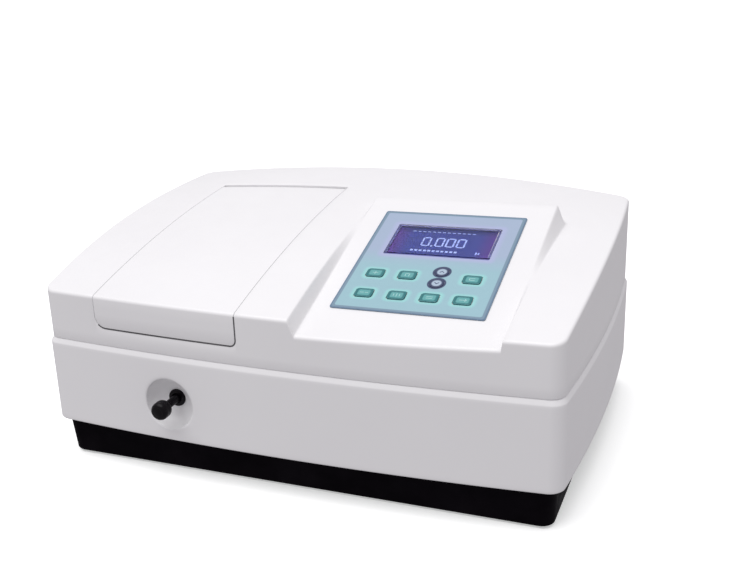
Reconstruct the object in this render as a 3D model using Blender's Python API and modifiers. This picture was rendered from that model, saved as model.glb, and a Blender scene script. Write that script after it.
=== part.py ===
"""Bench spectrophotometer: crowned two-part housing, hinged compartment lid, cuvette changer
on a pull rod, sloping keypad console, and the optics, lamps, fan and electronics inside."""

import math

import bmesh
import bpy
from mathutils import Matrix, Vector

# ---- driving dimensions, in metres: x to the right, y to the back, z up from the bench ----
HALF_WIDTH = 0.232          # upper housing at its corners
SIDE_BULGE = 0.009
FRONT_Y = -0.155
FRONT_BULGE = 0.0105
BACK_Y = 0.157
BACK_BULGE = 0.008
CORNER = 0.011              # radius of the housing's corners in plan
EDGE_ROUND = 0.0025         # radius along the top edge
WALL = 0.003
GAP = 0.0003

BASE_BOTTOM = 0.0020
BASE_TOP = 0.0370
BASE_INSETS = (0.0060, 0.0035)   # how far the tray's wall lies inside the housing, bottom and top
TRAY_FLOOR = 0.0048         # where the parts inside stand
SEAM = 0.1175
SHELL_START = SEAM + 2 * GAP
Y_SHIFT = 0.0086            # centres the whole object on the origin, rod knob included

# top surface: rises to the back and crowns across the width
TOP_FRONT = 0.161
TOP_RISE = 0.0365
TOP_POWER = 2.2
TOP_DEPTH = 0.320
CROWN_FRONT = 0.003
CROWN_GROWTH = 0.011
CROWN_HALF = 0.235

# sloping console: its plane, its edges at the front and how far they drift to the back
PANEL_Z = 0.1507
PANEL_SLOPE = 0.30
PANEL_TILT = 0.020
PANEL_LEFT = 0.0175
PANEL_RIGHT = 0.185
PANEL_BACK = 0.043
PANEL_BACK_FOOT = 0.051
LEFT_FOOT = 0.0105
RIGHT_FOOT = 0.193
PANEL_LENGTH = 0.203
LEFT_DRIFT = 0.005
LEFT_FOOT_DRIFT = 0.004
RIGHT_FLARE = (0.0015, 0.0090)

# compartment lid
LID_X = (-0.1765, -0.0375)
LID_LIP_Z = 0.1345
LID_CORNERS = (0.010, 0.005)    # left and right ends of the front lip
LID_GAP = 0.0010
HINGE_Y = 0.083
HINGE_DEPTH = 0.0054
HINGE_CLEARANCE = 0.0072
HINGE_ROD_R = 0.0018

# cuvette changer
ROD_X = -0.107
ROD_Z = 0.072
ROD_R = 0.0036
KNOB_R = 0.0080
KNOB_TIP_Y = -0.184
KNOB_LENGTH = 0.0137
RAIL_R = 0.0025
RAIL_Z = 0.0590
DISH_R = 0.0235
DISH_FLOOR_Y = -0.1500
BEAM_Y = -0.060
BEAM_Z = 0.085
WELL = 0.0130
WELL_PITCH = 0.018
WELLS = 4

# rear fittings
REAR_PLATE_Y = (0.1578, 0.1593)
REAR_Z = 0.0785
FAN_X = 0.085
FAN_SIDE = 0.060
INLET_X = -0.100
SWITCH_X = -0.060
ROCKER_TILT = 9.0           # degrees either way from level
DATA_X = -0.020
FUSE_X = -0.135

# keypad: centres along the console in its own plane, from its front left corner
KEY_COLUMNS = (0.0545, 0.0834, 0.1118, 0.1402)
KEY_ROWS = (0.0588, 0.0880)
KEY_SIZE = (0.0155, 0.0115)
KEY_TRAVEL = 0.0004
ARROW_COLUMN = KEY_COLUMNS[2]
ARROW_ROWS = (0.0960, 0.0795)
ARROW_R = 0.0062
OVERLAY = ((0.0315, 0.0360), (0.1645, 0.1875))
WINDOW = ((0.0508, 0.1205), (0.1470, 0.1665))

BODY = "spectrophotometer"


# ---- scene, materials and small builders ----

def clear_scene():
    for item in list(bpy.data.objects):
        bpy.data.objects.remove(item, do_unlink=True)


def collection(name):
    made = bpy.data.collections.new(name)
    bpy.context.scene.collection.children.link(made)
    return made


def finish(name, colour, roughness, metallic=0.0):
    made = bpy.data.materials.new(name)
    made.use_nodes = True
    shader = made.node_tree.nodes["Principled BSDF"]
    shader.inputs["Base Color"].default_value = (*colour, 1.0)
    shader.inputs["Roughness"].default_value = roughness
    shader.inputs["Metallic"].default_value = metallic
    made.diffuse_color = (*colour, 1.0)
    return made


clear_scene()
PARTS = collection(BODY)
CUTTERS = collection("cutters")

WHITE = finish("white_moulding", (0.86, 0.86, 0.87), 0.42)
BLACK = finish("black_moulding", (0.015, 0.013, 0.016), 0.45)
BLACK_PAINT = finish("matt_black_paint", (0.02, 0.02, 0.02), 0.85)
RUBBER = finish("rubber", (0.02, 0.02, 0.02), 0.9)
STEEL = finish("steel", (0.62, 0.62, 0.63), 0.3, 1.0)
ALUMINIUM = finish("cast_aluminium", (0.55, 0.56, 0.57), 0.5, 1.0)
ANODISED = finish("black_anodised", (0.03, 0.03, 0.035), 0.4, 0.6)
GREY_PLATE = finish("grey_sheet_metal", (0.45, 0.46, 0.47), 0.5, 0.3)
BOARD = finish("circuit_board", (0.02, 0.16, 0.07), 0.5)
GLASS = finish("clear_glass", (0.9, 0.93, 0.95), 0.05)
MIRROR = finish("mirror_coating", (0.85, 0.86, 0.88), 0.05, 1.0)
OVERLAY_BLUE = finish("overlay_blue", (0.42, 0.55, 0.64), 0.4)
KEY_GREEN = finish("key_green", (0.12, 0.42, 0.38), 0.4)
KEY_DARK = finish("key_dark", (0.12, 0.10, 0.16), 0.4)
SCREEN = finish("screen", (0.04, 0.05, 0.30), 0.2)

FRAME = bpy.data.objects.new("instrument_frame", None)
PARTS.objects.link(FRAME)
FRAME.location = (0.0, Y_SHIFT, 0.0)


def place(name, mesh, material, location=(0, 0, 0), rotation=None, parent=None):
    """Links a mesh as a part or, with no material, as a cutter."""
    made = bpy.data.objects.new(name, mesh)
    made.parent = parent or FRAME
    made.location = location
    if rotation is not None:
        made.rotation_mode = "QUATERNION"
        made.rotation_quaternion = rotation
    if material is None:
        CUTTERS.objects.link(made)
        made.hide_render = True
        made.display_type = "WIRE"
    else:
        PARTS.objects.link(made)
        mesh.materials.append(material)
    return made


def mesh_of(name, fill):
    """A new mesh, filled by a function that works on its bmesh."""
    made = bpy.data.meshes.new(name)
    work = bmesh.new()
    fill(work)
    bmesh.ops.recalc_face_normals(work, faces=work.faces)
    work.to_mesh(made)
    work.free()
    return made


def smooth(item, degrees=35):
    item.data.shade_smooth()
    item.data.set_sharp_from_angle(angle=math.radians(degrees))
    return item


def add_bevel(item, width, segments=2):
    bevel = item.modifiers.new("edges", "BEVEL")
    bevel.width = width
    bevel.segments = segments
    bevel.limit_method = "ANGLE"
    bevel.angle_limit = math.radians(50)
    return item


def box(name, low, high, material=None, bevel=0.0, parent=None):
    size = [b - a for a, b in zip(low, high)]
    centre = [(a + b) / 2 for a, b in zip(low, high)]

    def fill(work):
        bmesh.ops.create_cube(work, size=1.0)
        bmesh.ops.scale(work, vec=size, verts=work.verts)

    made = place(name, mesh_of(name, fill), material, centre, parent=parent)
    return add_bevel(made, bevel) if bevel else made


def cylinder(name, radius, start, end, material=None, segments=28, parent=None, tip_radius=None):
    """A cylinder or cone between two points."""
    start, end = Vector(start), Vector(end)
    along = end - start

    def fill(work):
        bmesh.ops.create_cone(
            work, cap_ends=True, segments=segments, radius1=radius,
            radius2=radius if tip_radius is None else tip_radius, depth=along.length,
        )

    turn = along.to_track_quat("Z", "Y")
    made = place(name, mesh_of(name, fill), material, (start + end) / 2, turn, parent)
    return smooth(made)


def turned(name, profile, at, material=None, along=(0, 0, 1), steps=32, parent=None):
    """A turned shape: (radius, height) points down the outer side, top to bottom."""
    made_mesh = bpy.data.meshes.new(name)
    points = [(radius, 0.0, height) for radius, height in profile]
    edges = [(i, i + 1) for i in range(len(points) - 1)]
    made_mesh.from_pydata(points, edges, [])
    made = place(name, made_mesh, material, at, Vector(along).to_track_quat("Z", "Y"), parent)
    screw = made.modifiers.new("turn", "SCREW")
    screw.axis = "Z"
    screw.steps = steps
    screw.render_steps = steps
    screw.use_merge_vertices = True
    screw.merge_threshold = 0.00001
    screw.use_smooth_shade = True
    return made


def boolean(item, other, operation):
    step = item.modifiers.new(other.name, "BOOLEAN")
    step.operation = operation
    step.object = other
    step.solver = "EXACT"
    return item


def cut(item, *others):
    for other in others:
        boolean(item, other, "DIFFERENCE")
    return item


def join(item, *others):
    for other in others:
        boolean(item, other, "UNION")
    return item


def group_of_boxes(name, boxes, parent=None):
    """Several boxes in one cutter."""
    def fill(work):
        for low, high in boxes:
            size = [b - a for a, b in zip(low, high)]
            centre = [(a + b) / 2 for a, b in zip(low, high)]
            made = bmesh.ops.create_cube(work, size=1.0)["verts"]
            bmesh.ops.scale(work, vec=size, verts=made)
            bmesh.ops.translate(work, vec=centre, verts=made)

    return place(name, mesh_of(name, fill), None, parent=parent)


def set_origin(item, origin):
    """Moves an object's origin without moving its shape."""
    item.data.transform(Matrix.Translation(item.location - Vector(origin)))
    item.location = origin
    return item


# ---- the housing's form ----

def ramp(value, zero_at, one_at):
    share = min(max((value - zero_at) / (one_at - zero_at), 0.0), 1.0)
    return share * share * (3 - 2 * share)


def bulged(x, y):
    """A point of the flat plan moved out to the bulged outline."""
    side = SIDE_BULGE * (1 - ((y - 0.015) / 0.172) ** 2) * ramp(abs(x), RIGHT_FOOT, HALF_WIDTH - CORNER)
    end = 1 - (x / HALF_WIDTH) ** 2
    front = FRONT_BULGE * end * ramp(-y, 0.080, -FRONT_Y - CORNER)
    back = BACK_BULGE * end * ramp(y, 0.115, BACK_Y - CORNER)
    return x + math.copysign(side, x), y - front + back


def corner_rounded(x, y):
    """Carries the square corner of the flat plan onto its arc; also gives the inset."""
    across = HALF_WIDTH - abs(x)
    along = y - FRONT_Y if y < 0 else BACK_Y - y
    if across >= CORNER or along >= CORNER:
        return x, y, min(across, along)
    u, v = 1 - across / CORNER, 1 - along / CORNER
    length = math.hypot(u, v)
    if length == 0:
        return x, y, CORNER
    reach = max(u, v) / length
    x = math.copysign(HALF_WIDTH - CORNER * (1 - u * reach), x)
    y = FRONT_Y + CORNER * (1 - v * reach) if y < 0 else BACK_Y - CORNER * (1 - v * reach)
    return x, y, CORNER * (1 - length * reach)


def crown(x, y):
    """Height of the top surface."""
    share = (y + 0.160) / TOP_DEPTH
    spine = TOP_FRONT + TOP_RISE * (1 - max(1 - share, 0.0) ** TOP_POWER)
    return spine + (CROWN_FRONT + CROWN_GROWTH * share) * (1 - (x / CROWN_HALF) ** 2)


def panel_height(x, y):
    return PANEL_Z + PANEL_SLOPE * (y + 0.160) + PANEL_TILT * (x - 0.012)


def edge_drop(inset):
    if inset >= EDGE_ROUND:
        return 0.0
    return EDGE_ROUND - math.sqrt(EDGE_ROUND ** 2 - (EDGE_ROUND - inset) ** 2)


EDGE_INSETS = (0.0, 0.0004, 0.0012, EDGE_ROUND, 0.0050, 0.0080, CORNER)


def plan_lines(low, high, between):
    return (
        [low + inset for inset in EDGE_INSETS]
        + list(between)
        + [high - inset for inset in reversed(EDGE_INSETS)]
    )


X_LINES = plan_lines(
    -HALF_WIDTH, HALF_WIDTH,
    (-0.190, -0.150, -0.100, -0.050, LEFT_FOOT, PANEL_LEFT, 0.060, 0.101, 0.143, PANEL_RIGHT, RIGHT_FOOT),
)
Y_LINES = plan_lines(
    FRONT_Y, BACK_Y,
    (-0.110, -0.080, -0.045, -0.010, 0.020, PANEL_BACK, PANEL_BACK_FOOT, 0.085, 0.115),
)


def housing_point(x_line, y_line):
    """A point of the upper housing's top surface, at a crossing of two plan lines."""
    x, y, inset = corner_rounded(x_line, y_line)
    x, y = bulged(x, y)
    back_share = (y + 0.160) / PANEL_LENGTH
    if x_line == PANEL_LEFT:
        x -= LEFT_DRIFT * back_share
    if x_line == LEFT_FOOT:
        x -= LEFT_FOOT_DRIFT * back_share
    if x_line == RIGHT_FOOT:
        near, far = RIGHT_FLARE
        x = PANEL_RIGHT + near + (far - near) * back_share
    on_panel = PANEL_LEFT <= x_line <= PANEL_RIGHT and y_line <= PANEL_BACK
    height = panel_height(x, y) if on_panel else crown(x, y)
    return x, y, height - edge_drop(inset)


def outline(outset, bulge=1.0):
    """The outline in plan, counter-clockwise from the front left; with no bulge its sides are straight."""
    last_x, last_y = len(X_LINES) - 1, len(Y_LINES) - 1
    walk = [(i, 0) for i in range(last_x)]
    walk += [(last_x, j) for j in range(last_y)]
    walk += [(i, last_y) for i in range(last_x, 0, -1)]
    walk += [(0, j) for j in range(last_y, 0, -1)]
    ring = []
    for i, j in walk:
        x, y, _ = corner_rounded(X_LINES[i], Y_LINES[j])
        out_x, out_y = bulged(x, y)
        x, y = x + bulge * (out_x - x), y + bulge * (out_y - y)
        ring.append((x * (1 + outset / (HALF_WIDTH + SIDE_BULGE)), y * (1 + outset / 0.1630)))
    return ring


def ring_shell(name, profile, material, closed=True):
    """A loft of (outset, height) or (outset, height, bulge) sections, joined end to end or capped."""
    def fill(work):
        rings = [
            [work.verts.new((x, y, height)) for x, y in outline(outset, *bulge)]
            for outset, height, *bulge in profile
        ]
        pairs = list(zip(rings, rings[1:]))
        if closed:
            pairs.append((rings[-1], rings[0]))
        for lower, upper in pairs:
            for k in range(len(lower)):
                n = (k + 1) % len(lower)
                work.faces.new((lower[k], lower[n], upper[n], upper[k]))
        if not closed:
            work.faces.new(rings[0])
            work.faces.new(rings[-1])

    return smooth(place(name, mesh_of(name, fill), material))


def thicken(item, thickness, outward=False):
    shell = item.modifiers.new("wall", "SOLIDIFY")
    shell.thickness = thickness
    shell.offset = 1.0 if outward else -1.0
    shell.use_even_offset = True
    return item


# ---- casings ----

def make_base_tray():
    """Open pan: floor, straight walls, and a rim that follows the housing's bulge inside it."""
    rim, wall = -0.0022, 0.0025
    foot, top = (-inset for inset in BASE_INSETS)
    profile = [
        (foot - 0.0015, BASE_BOTTOM, 0), (foot, BASE_BOTTOM + 0.0015, 0),
        (top, BASE_TOP + GAP, 0), (rim, BASE_TOP + GAP),
        (rim, BASE_TOP + 0.0030), (top - wall, BASE_TOP + 0.0030, 0), (foot - wall, TRAY_FLOOR - GAP, 0),
    ]
    return ring_shell("base_tray", profile, BLACK, closed=False)


def make_feet():
    for end, y in (("front", -0.115), ("rear", 0.120)):
        for side, x in (("left", -0.180), ("right", 0.180)):
            profile = [(0.0, BASE_BOTTOM - GAP), (0.0100, BASE_BOTTOM - GAP), (0.0100, 0.0006),
                       (0.0094, 0.0), (0.0, 0.0)]
            turned(f"foot_{end}_{side}", profile, (x, y, 0.0), RUBBER, steps=20)


def make_lower_housing():
    """Ring of wall with a rounded ledge on top, a round dish in front and a rear window."""
    out, inner = 0.0018, -0.0014
    profile = [
        (0.0000, BASE_TOP), (0.0012, BASE_TOP + 0.0006), (out, BASE_TOP + 0.0022),
        (out, SEAM - 0.0035), (out - 0.0006, SEAM - 0.0012), (-0.0004, SEAM),
        (inner, SEAM), (inner, BASE_TOP),
    ]
    shell = ring_shell("lower_housing", profile, WHITE)
    mouth_y = -0.1635
    boss = cylinder("dish_boss", DISH_R + 0.004, (ROD_X, mouth_y + 0.0005, ROD_Z),
                    (ROD_X, DISH_FLOOR_Y + 0.0020, ROD_Z), segments=32)
    depth = DISH_FLOOR_Y - mouth_y
    hollow = [(0.0, 0.006), (DISH_R + 0.0065, 0.006), (DISH_R + 0.0012, 0.0), (DISH_R, -0.0015),
              (DISH_R - 0.0020, -0.45 * depth), (DISH_R - 0.0065, -0.80 * depth),
              (0.0115, -depth), (0.0, -depth)]
    dish = turned("dish_hollow", hollow, (ROD_X, mouth_y, ROD_Z), along=(0, -1, 0), steps=32)
    bore = cylinder("dish_bore", 0.0063, (ROD_X, -0.160, ROD_Z), (ROD_X, -0.140, ROD_Z), segments=24)
    window = box("rear_window", (-0.150, 0.140, 0.047), (0.150, 0.200, 0.110), bevel=0.004)
    return cut(join(shell, boss), dish, bore, window)


def lid_opening_cutter():
    low = (LID_X[0] - LID_GAP, -0.200, LID_LIP_Z - LID_GAP)
    high = (LID_X[1] + LID_GAP, HINGE_Y + HINGE_CLEARANCE, 0.260)
    made = box("lid_opening", low, high)
    work = bmesh.new()
    work.from_mesh(made.data)
    for side, corner in zip((-1, 1), LID_CORNERS):
        lower = [e for e in work.edges if all(v.co.z < 0 and v.co.x * side > 0 for v in e.verts)
                 and abs(e.verts[0].co.y - e.verts[1].co.y) > 0.1]
        bmesh.ops.bevel(work, geom=lower, offset=corner + LID_GAP, segments=5, profile=0.5, affect="EDGES")
    work.to_mesh(made.data)
    work.free()
    return made


def make_upper_housing(window_cutter):
    """Crowned shell with the console moulded in; the lid opening and screen window are cut."""
    def fill(work):
        grid = [[work.verts.new(housing_point(x, y)) for y in Y_LINES] for x in X_LINES]
        last_x, last_y = len(X_LINES) - 1, len(Y_LINES) - 1
        for i in range(last_x):
            for j in range(last_y):
                work.faces.new((grid[i][j], grid[i + 1][j], grid[i + 1][j + 1], grid[i][j + 1]))
        rim = [e for e in work.edges if e.is_boundary]
        for height in (0.1300, SHELL_START):
            made = bmesh.ops.extrude_edge_only(work, edges=rim)["geom"]
            for vert in (g for g in made if isinstance(g, bmesh.types.BMVert)):
                vert.co.z = height
            rim = [g for g in made if isinstance(g, bmesh.types.BMEdge) and g.is_boundary]

    shell = smooth(place("upper_housing", mesh_of("upper_housing", fill), WHITE))
    thicken(shell, WALL)
    return cut(shell, lid_opening_cutter(), window_cutter)


def rear_span(x, half_x, half_z, near, far):
    """Corners of a box centred on the rear fittings' line, from depth near to depth far."""
    return (x - half_x, near, REAR_Z - half_z), (x + half_x, far, REAR_Z + half_z)


def rear_box(name, x, half_x, half_z, near, far, material=None, bevel=0.0):
    return box(name, *rear_span(x, half_x, half_z, near, far), material, bevel)


def rear_cylinder(name, x, radius, near, far, material=None, segments=28):
    return cylinder(name, radius, (x, near, REAR_Z), (x, far, REAR_Z), material, segments)


def make_rear_panel():
    plate = box("rear_panel", (-0.154, REAR_PLATE_Y[0], 0.0425), (0.154, REAR_PLATE_Y[1], 0.1145),
                GREY_PLATE)
    near, far = 0.150, 0.170
    fan_hole = rear_cylinder("fan_hole", FAN_X, 0.0270, near, far, segments=32)
    fuse_hole = rear_cylinder("fuse_hole", FUSE_X, 0.0060, near, far, segments=20)
    holes = group_of_boxes("rear_holes", [
        rear_span(INLET_X, 0.0139, 0.0103, near, far),
        rear_span(SWITCH_X, 0.0068, 0.0098, near, far),
        rear_span(DATA_X, 0.0095, 0.0052, near, far),
    ])
    louvre, pitch = 0.0030, 0.0084
    slots = group_of_boxes("rear_slots", [
        ((0.005, near, 0.0575 + row * pitch), (0.043, far, 0.0575 + row * pitch + louvre))
        for row in range(6)
    ])
    return cut(plate, fan_hole, holes, slots, fuse_hole)


# ---- compartment lid and hinge ----

def hinge_height(x):
    """Height of the hinge axis, which lies parallel to the lid's back edge."""
    left, right = LID_X
    share = (x - left) / (right - left)
    rise = crown(right, HINGE_Y) - crown(left, HINGE_Y)
    return crown(left, HINGE_Y) + share * rise - HINGE_DEPTH


def lid_profile(x):
    """The lid's outer line at one x, from the bottom of its front lip to its rolled back edge."""
    front = FRONT_Y - FRONT_BULGE * (1 - (x / HALF_WIDTH) ** 2)
    rise = 0.0
    for side, corner in zip((x - LID_X[0], LID_X[1] - x), LID_CORNERS):
        if side < corner:
            rise = corner - math.sqrt(corner ** 2 - (corner - side) ** 2)
    points = [(front, LID_LIP_Z + rise), (front, 0.1470)]
    for inset in EDGE_INSETS:
        points.append((front + inset, crown(x, front + inset) - edge_drop(inset)))
    for y in (-0.110, -0.080, -0.045, -0.010, 0.020, 0.051):
        points.append((y, crown(x, y)))
    reach = crown(x, HINGE_Y) - hinge_height(x)
    for angle in (90, 65, 40, 15, -10, -35):
        turn = math.radians(angle)
        points.append((HINGE_Y + reach * math.cos(turn), hinge_height(x) + reach * math.sin(turn)))
    return points


def make_lid():
    left, right = LID_X
    shares = (0.0, 0.10, 0.32, 0.62, 1.0)
    stations = [left + share * LID_CORNERS[0] for share in shares] + [-0.145, ROD_X, -0.070]
    stations += [right - share * LID_CORNERS[1] for share in reversed(shares)]

    def fill(work):
        rows = [[work.verts.new((x, y, z)) for y, z in lid_profile(x)] for x in stations]
        for here, there in zip(rows, rows[1:]):
            for k in range(len(here) - 1):
                work.faces.new((here[k], there[k], there[k + 1], here[k + 1]))

    lid = smooth(place("compartment_lid", mesh_of("compartment_lid", fill), WHITE))
    set_origin(lid, (ROD_X, HINGE_Y, hinge_height(ROD_X)))
    return thicken(lid, WALL)


def make_hinge():
    left, right = LID_X
    ends = [Vector((x, HINGE_Y, hinge_height(x))) for x in (left - 0.0105, right + 0.0105)]
    cylinder("lid_hinge_rod", HINGE_ROD_R, ends[0], ends[1], STEEL, segments=16)
    for side, x, far in (("left", left - 0.0105, left - 0.0035), ("right", right + 0.0035, right + 0.0105)):
        top = min(crown(x, HINGE_Y), crown(far, HINGE_Y)) - WALL - 0.0011
        block = box(f"hinge_bracket_{side}", (x, HINGE_Y - 0.006, top - 0.012), (far, HINGE_Y + 0.006, top),
                    ANODISED)
        out = 0.004
        bore = cylinder(f"hinge_bore_{side}", HINGE_ROD_R + GAP,
                        (x - out, HINGE_Y, hinge_height(x - out)),
                        (far + out, HINGE_Y, hinge_height(far + out)), segments=16)
        cut(block, bore)


# ---- sample compartment and cuvette changer ----

def make_compartment():
    """Open tub: its side and back walls follow the crown, its front wall stops at the sill."""
    low_x, high_x = -0.1745, -0.0395
    low_y, high_y, floor_z = -0.1455, 0.0735, 0.0470

    sheet = 0.002
    front_top, below_lid = 0.1325, 0.0058

    def fill(work):
        bmesh.ops.create_grid(work, x_segments=3, y_segments=6, size=0.5)
        for vert in work.verts:
            vert.co.x = low_x + (vert.co.x + 0.5) * (high_x - low_x)
            vert.co.y = low_y + (vert.co.y + 0.5) * (high_y - low_y)
            vert.co.z = floor_z
        rim = [e for e in work.edges if e.is_boundary]
        made = bmesh.ops.extrude_edge_only(work, edges=rim)["geom"]
        for vert in (g for g in made if isinstance(g, bmesh.types.BMVert)):
            at_front = vert.co.y < low_y + 1e-6
            vert.co.z = front_top if at_front else crown(vert.co.x, vert.co.y) - below_lid

    tub = place("sample_compartment", mesh_of("sample_compartment", fill), BLACK_PAINT)
    thicken(tub, sheet, outward=True)
    ports = cylinder("beam_ports", 0.0060, (low_x - 0.010, BEAM_Y, BEAM_Z),
                     (high_x + 0.010, BEAM_Y, BEAM_Z), segments=24)
    rod_hole = cylinder("tub_rod_hole", 0.0063, (ROD_X, -0.155, ROD_Z), (ROD_X, -0.130, ROD_Z),
                        segments=24)
    return cut(tub, ports, rod_hole)


def make_compartment_supports():
    def fill(work):
        rows = []
        for x in (-0.1745, -0.1410, ROD_X, -0.0730, -0.0395):
            front = FRONT_Y - FRONT_BULGE * (1 - (x / HALF_WIDTH) ** 2) + WALL + 2 * GAP
            corners = ((front, 0.1298), (-0.1480, 0.1298), (-0.1480, 0.1325), (front, 0.1325))
            rows.append([work.verts.new((x, y, z)) for y, z in corners])
        for here, there in zip(rows, rows[1:]):
            for k in range(4):
                n = (k + 1) % 4
                work.faces.new((here[k], here[n], there[n], there[k]))
        work.faces.new(rows[0])
        work.faces.new(rows[-1])

    place("compartment_sill", mesh_of("compartment_sill", fill), BLACK)
    stand = box("compartment_stand", (-0.165, -0.130, TRAY_FLOOR), (-0.049, 0.060, 0.0447), GREY_PLATE)
    hollow = box("stand_hollow", (-0.163, -0.200, 0.000), (-0.051, 0.100, 0.0427))
    cut(stand, hollow)


def make_changer():
    """Sliding block with four open wells, light windows across them, on two rails."""
    half = 0.011
    start, end = BEAM_Y - 0.012, BEAM_Y + (WELLS - 1) * WELL_PITCH + 0.012
    block = box("cuvette_carriage", (ROD_X - half, start, 0.0630), (ROD_X + half, end, 0.1000), ANODISED,
                bevel=0.0008)
    centres = [BEAM_Y + i * WELL_PITCH for i in range(WELLS)]
    reach = WELL / 2
    wells = group_of_boxes("cuvette_wells", [
        ((ROD_X - reach, y - reach, 0.0665), (ROD_X + reach, y + reach, 0.1100)) for y in centres
    ])
    windows = group_of_boxes("light_windows", [
        ((ROD_X - 0.020, y - 0.0040, 0.0770), (ROD_X + 0.020, y + 0.0040, 0.0930)) for y in centres
    ])
    cut(block, wells, windows)
    set_origin(block, (ROD_X, start, ROD_Z))

    base = box("rail_bracket", (ROD_X - 0.017, -0.136, 0.0475), (ROD_X + 0.017, 0.040, 0.0625), STEEL)
    gap = box("rail_bracket_gap", (ROD_X - 0.030, -0.130, 0.0500), (ROD_X + 0.030, 0.034, 0.0700))
    cut(base, gap)
    for side, offset in (("left", -0.0085), ("right", 0.0085)):
        x = ROD_X + offset
        bore = cylinder(f"rail_bore_{side}", RAIL_R + GAP, (x, -0.140, RAIL_Z), (x, 0.045, RAIL_Z),
                        segments=20)
        cut(base, bore)
        cylinder(f"guide_rail_{side}", RAIL_R, (x, -0.137, RAIL_Z), (x, 0.041, RAIL_Z), STEEL, segments=20)

    knob_back = KNOB_TIP_Y + KNOB_LENGTH + GAP
    cylinder("changer_rod", ROD_R, (ROD_X, knob_back, ROD_Z), (ROD_X, start - GAP, ROD_Z), BLACK, segments=24)
    knob = [(0.0, 0.0), (0.0050, -0.0004), (0.0072, -0.0018), (KNOB_R, -0.0042), (KNOB_R, -0.0095),
            (0.0066, -0.0120), (0.0048, -KNOB_LENGTH), (0.0, -KNOB_LENGTH)]
    turned("rod_knob", knob, (ROD_X, KNOB_TIP_Y, ROD_Z), BLACK, along=(0, -1, 0), steps=28)
    sleeve, flange, bore = 0.0060, 0.0080, ROD_R + GAP
    back = -0.0055
    front = -back
    bush = [(bore, front), (flange - 0.0008, front), (flange, front - 0.0008), (flange, GAP),
            (sleeve, GAP), (sleeve, back), (bore, back), (bore, front)]
    turned("rod_bush", bush, (ROD_X, DISH_FLOOR_Y, ROD_Z), BLACK, along=(0, -1, 0), steps=28)


def make_detector():
    low, high = (-0.2160, BEAM_Y - 0.021, 0.058), (-0.1770, BEAM_Y + 0.021, 0.114)
    bore_end, bore_r = -0.204, 0.0075
    block = box("detector_housing", low, high, ANODISED, bevel=0.001)
    bore = cylinder("detector_bore", bore_r, (bore_end, BEAM_Y, BEAM_Z), (-0.170, BEAM_Y, BEAM_Z),
                    segments=24)
    cut(block, bore)
    cylinder("detector_cell", bore_r - 0.0005, (bore_end + GAP, BEAM_Y, BEAM_Z), (-0.2000, BEAM_Y, BEAM_Z),
             GLASS, segments=20)


# ---- optics, lamps and electronics ----

GRATING_AT = (0.036, -0.020)
SOURCE_AT = (0.060, 0.098)


def motor_block(name, x, y, half):
    box(name, (x - half, y - half, TRAY_FLOOR), (x + half, y + half, 0.0297), BLACK, bevel=0.002)


def make_bench():
    top = 0.0360
    bench = box("optical_bench", (-0.028, -0.108, 0.0300), (0.202, 0.132, top), ALUMINIUM)
    legs = [((x, y, TRAY_FLOOR), (x + 0.012, y + 0.012, 0.0320))
            for x in (-0.024, 0.186) for y in (-0.104, 0.116)]
    join(bench, group_of_boxes("bench_legs", legs))
    holes = [cylinder(f"shaft_hole_{n}", 0.0040, (x, y, 0.020), (x, y, 0.050), segments=16)
             for n, (x, y) in enumerate((GRATING_AT, SOURCE_AT))]
    cut(bench, *holes)

    floor = top + GAP
    room = box("monochromator_housing", (-0.026, -0.102, floor), (0.124, 0.062, 0.1050), ALUMINIUM)
    inside = box("monochromator_hollow", (-0.022, -0.098, floor + 0.004), (0.120, 0.058, 0.1200))
    exit_port = cylinder("exit_port", 0.0060, (-0.040, BEAM_Y, BEAM_Z), (-0.010, BEAM_Y, BEAM_Z),
                         segments=24)
    source_x = SOURCE_AT[0]
    entrance = cylinder("entrance_port", 0.0050, (source_x, 0.050, BEAM_Z), (source_x, 0.080, BEAM_Z),
                        segments=20)
    shaft = cylinder("turntable_bore", 0.0040, (*GRATING_AT, 0.030), (*GRATING_AT, 0.050), segments=16)
    cut(room, inside, exit_port, entrance, shaft)
    box("monochromator_cover", (-0.026, -0.102, 0.1053), (0.124, 0.062, 0.1078), ALUMINIUM)
    cylinder("exit_lens", 0.0057, (-0.0258, BEAM_Y, BEAM_Z), (-0.0225, BEAM_Y, BEAM_Z), GLASS, segments=20)


def make_grating():
    x, y = GRATING_AT
    disc = [(0.0, 0.0490), (0.0190, 0.0490), (0.0190, 0.0450), (0.0030, 0.0450), (0.0030, 0.0300),
            (0.0, 0.0300)]
    table = turned("grating_turntable", disc, (x, y, 0.0), ANODISED, steps=28)
    back = box("grating_back", (x - 0.015, y + 0.0010, 0.0480), (x + 0.015, y + 0.0050, 0.1000))
    join(table, back)
    grating = box("diffraction_grating", (x - 0.013, y - 0.0057, 0.0700), (x + 0.013, y + 0.0007, 0.0980),
                  MIRROR)
    set_origin(grating, (x, y, BEAM_Z))
    motor_block("grating_motor", x, y, 0.0175)
    mirror = cylinder("collimating_mirror", 0.0180, (0.1170, -0.040, BEAM_Z - 0.012),
                      (0.1100, -0.040, BEAM_Z - 0.012), MIRROR, segments=28)
    foot = box("mirror_foot", (0.1110, -0.048, 0.0405), (0.1160, -0.032, 0.0600))
    join(mirror, foot)


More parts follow.
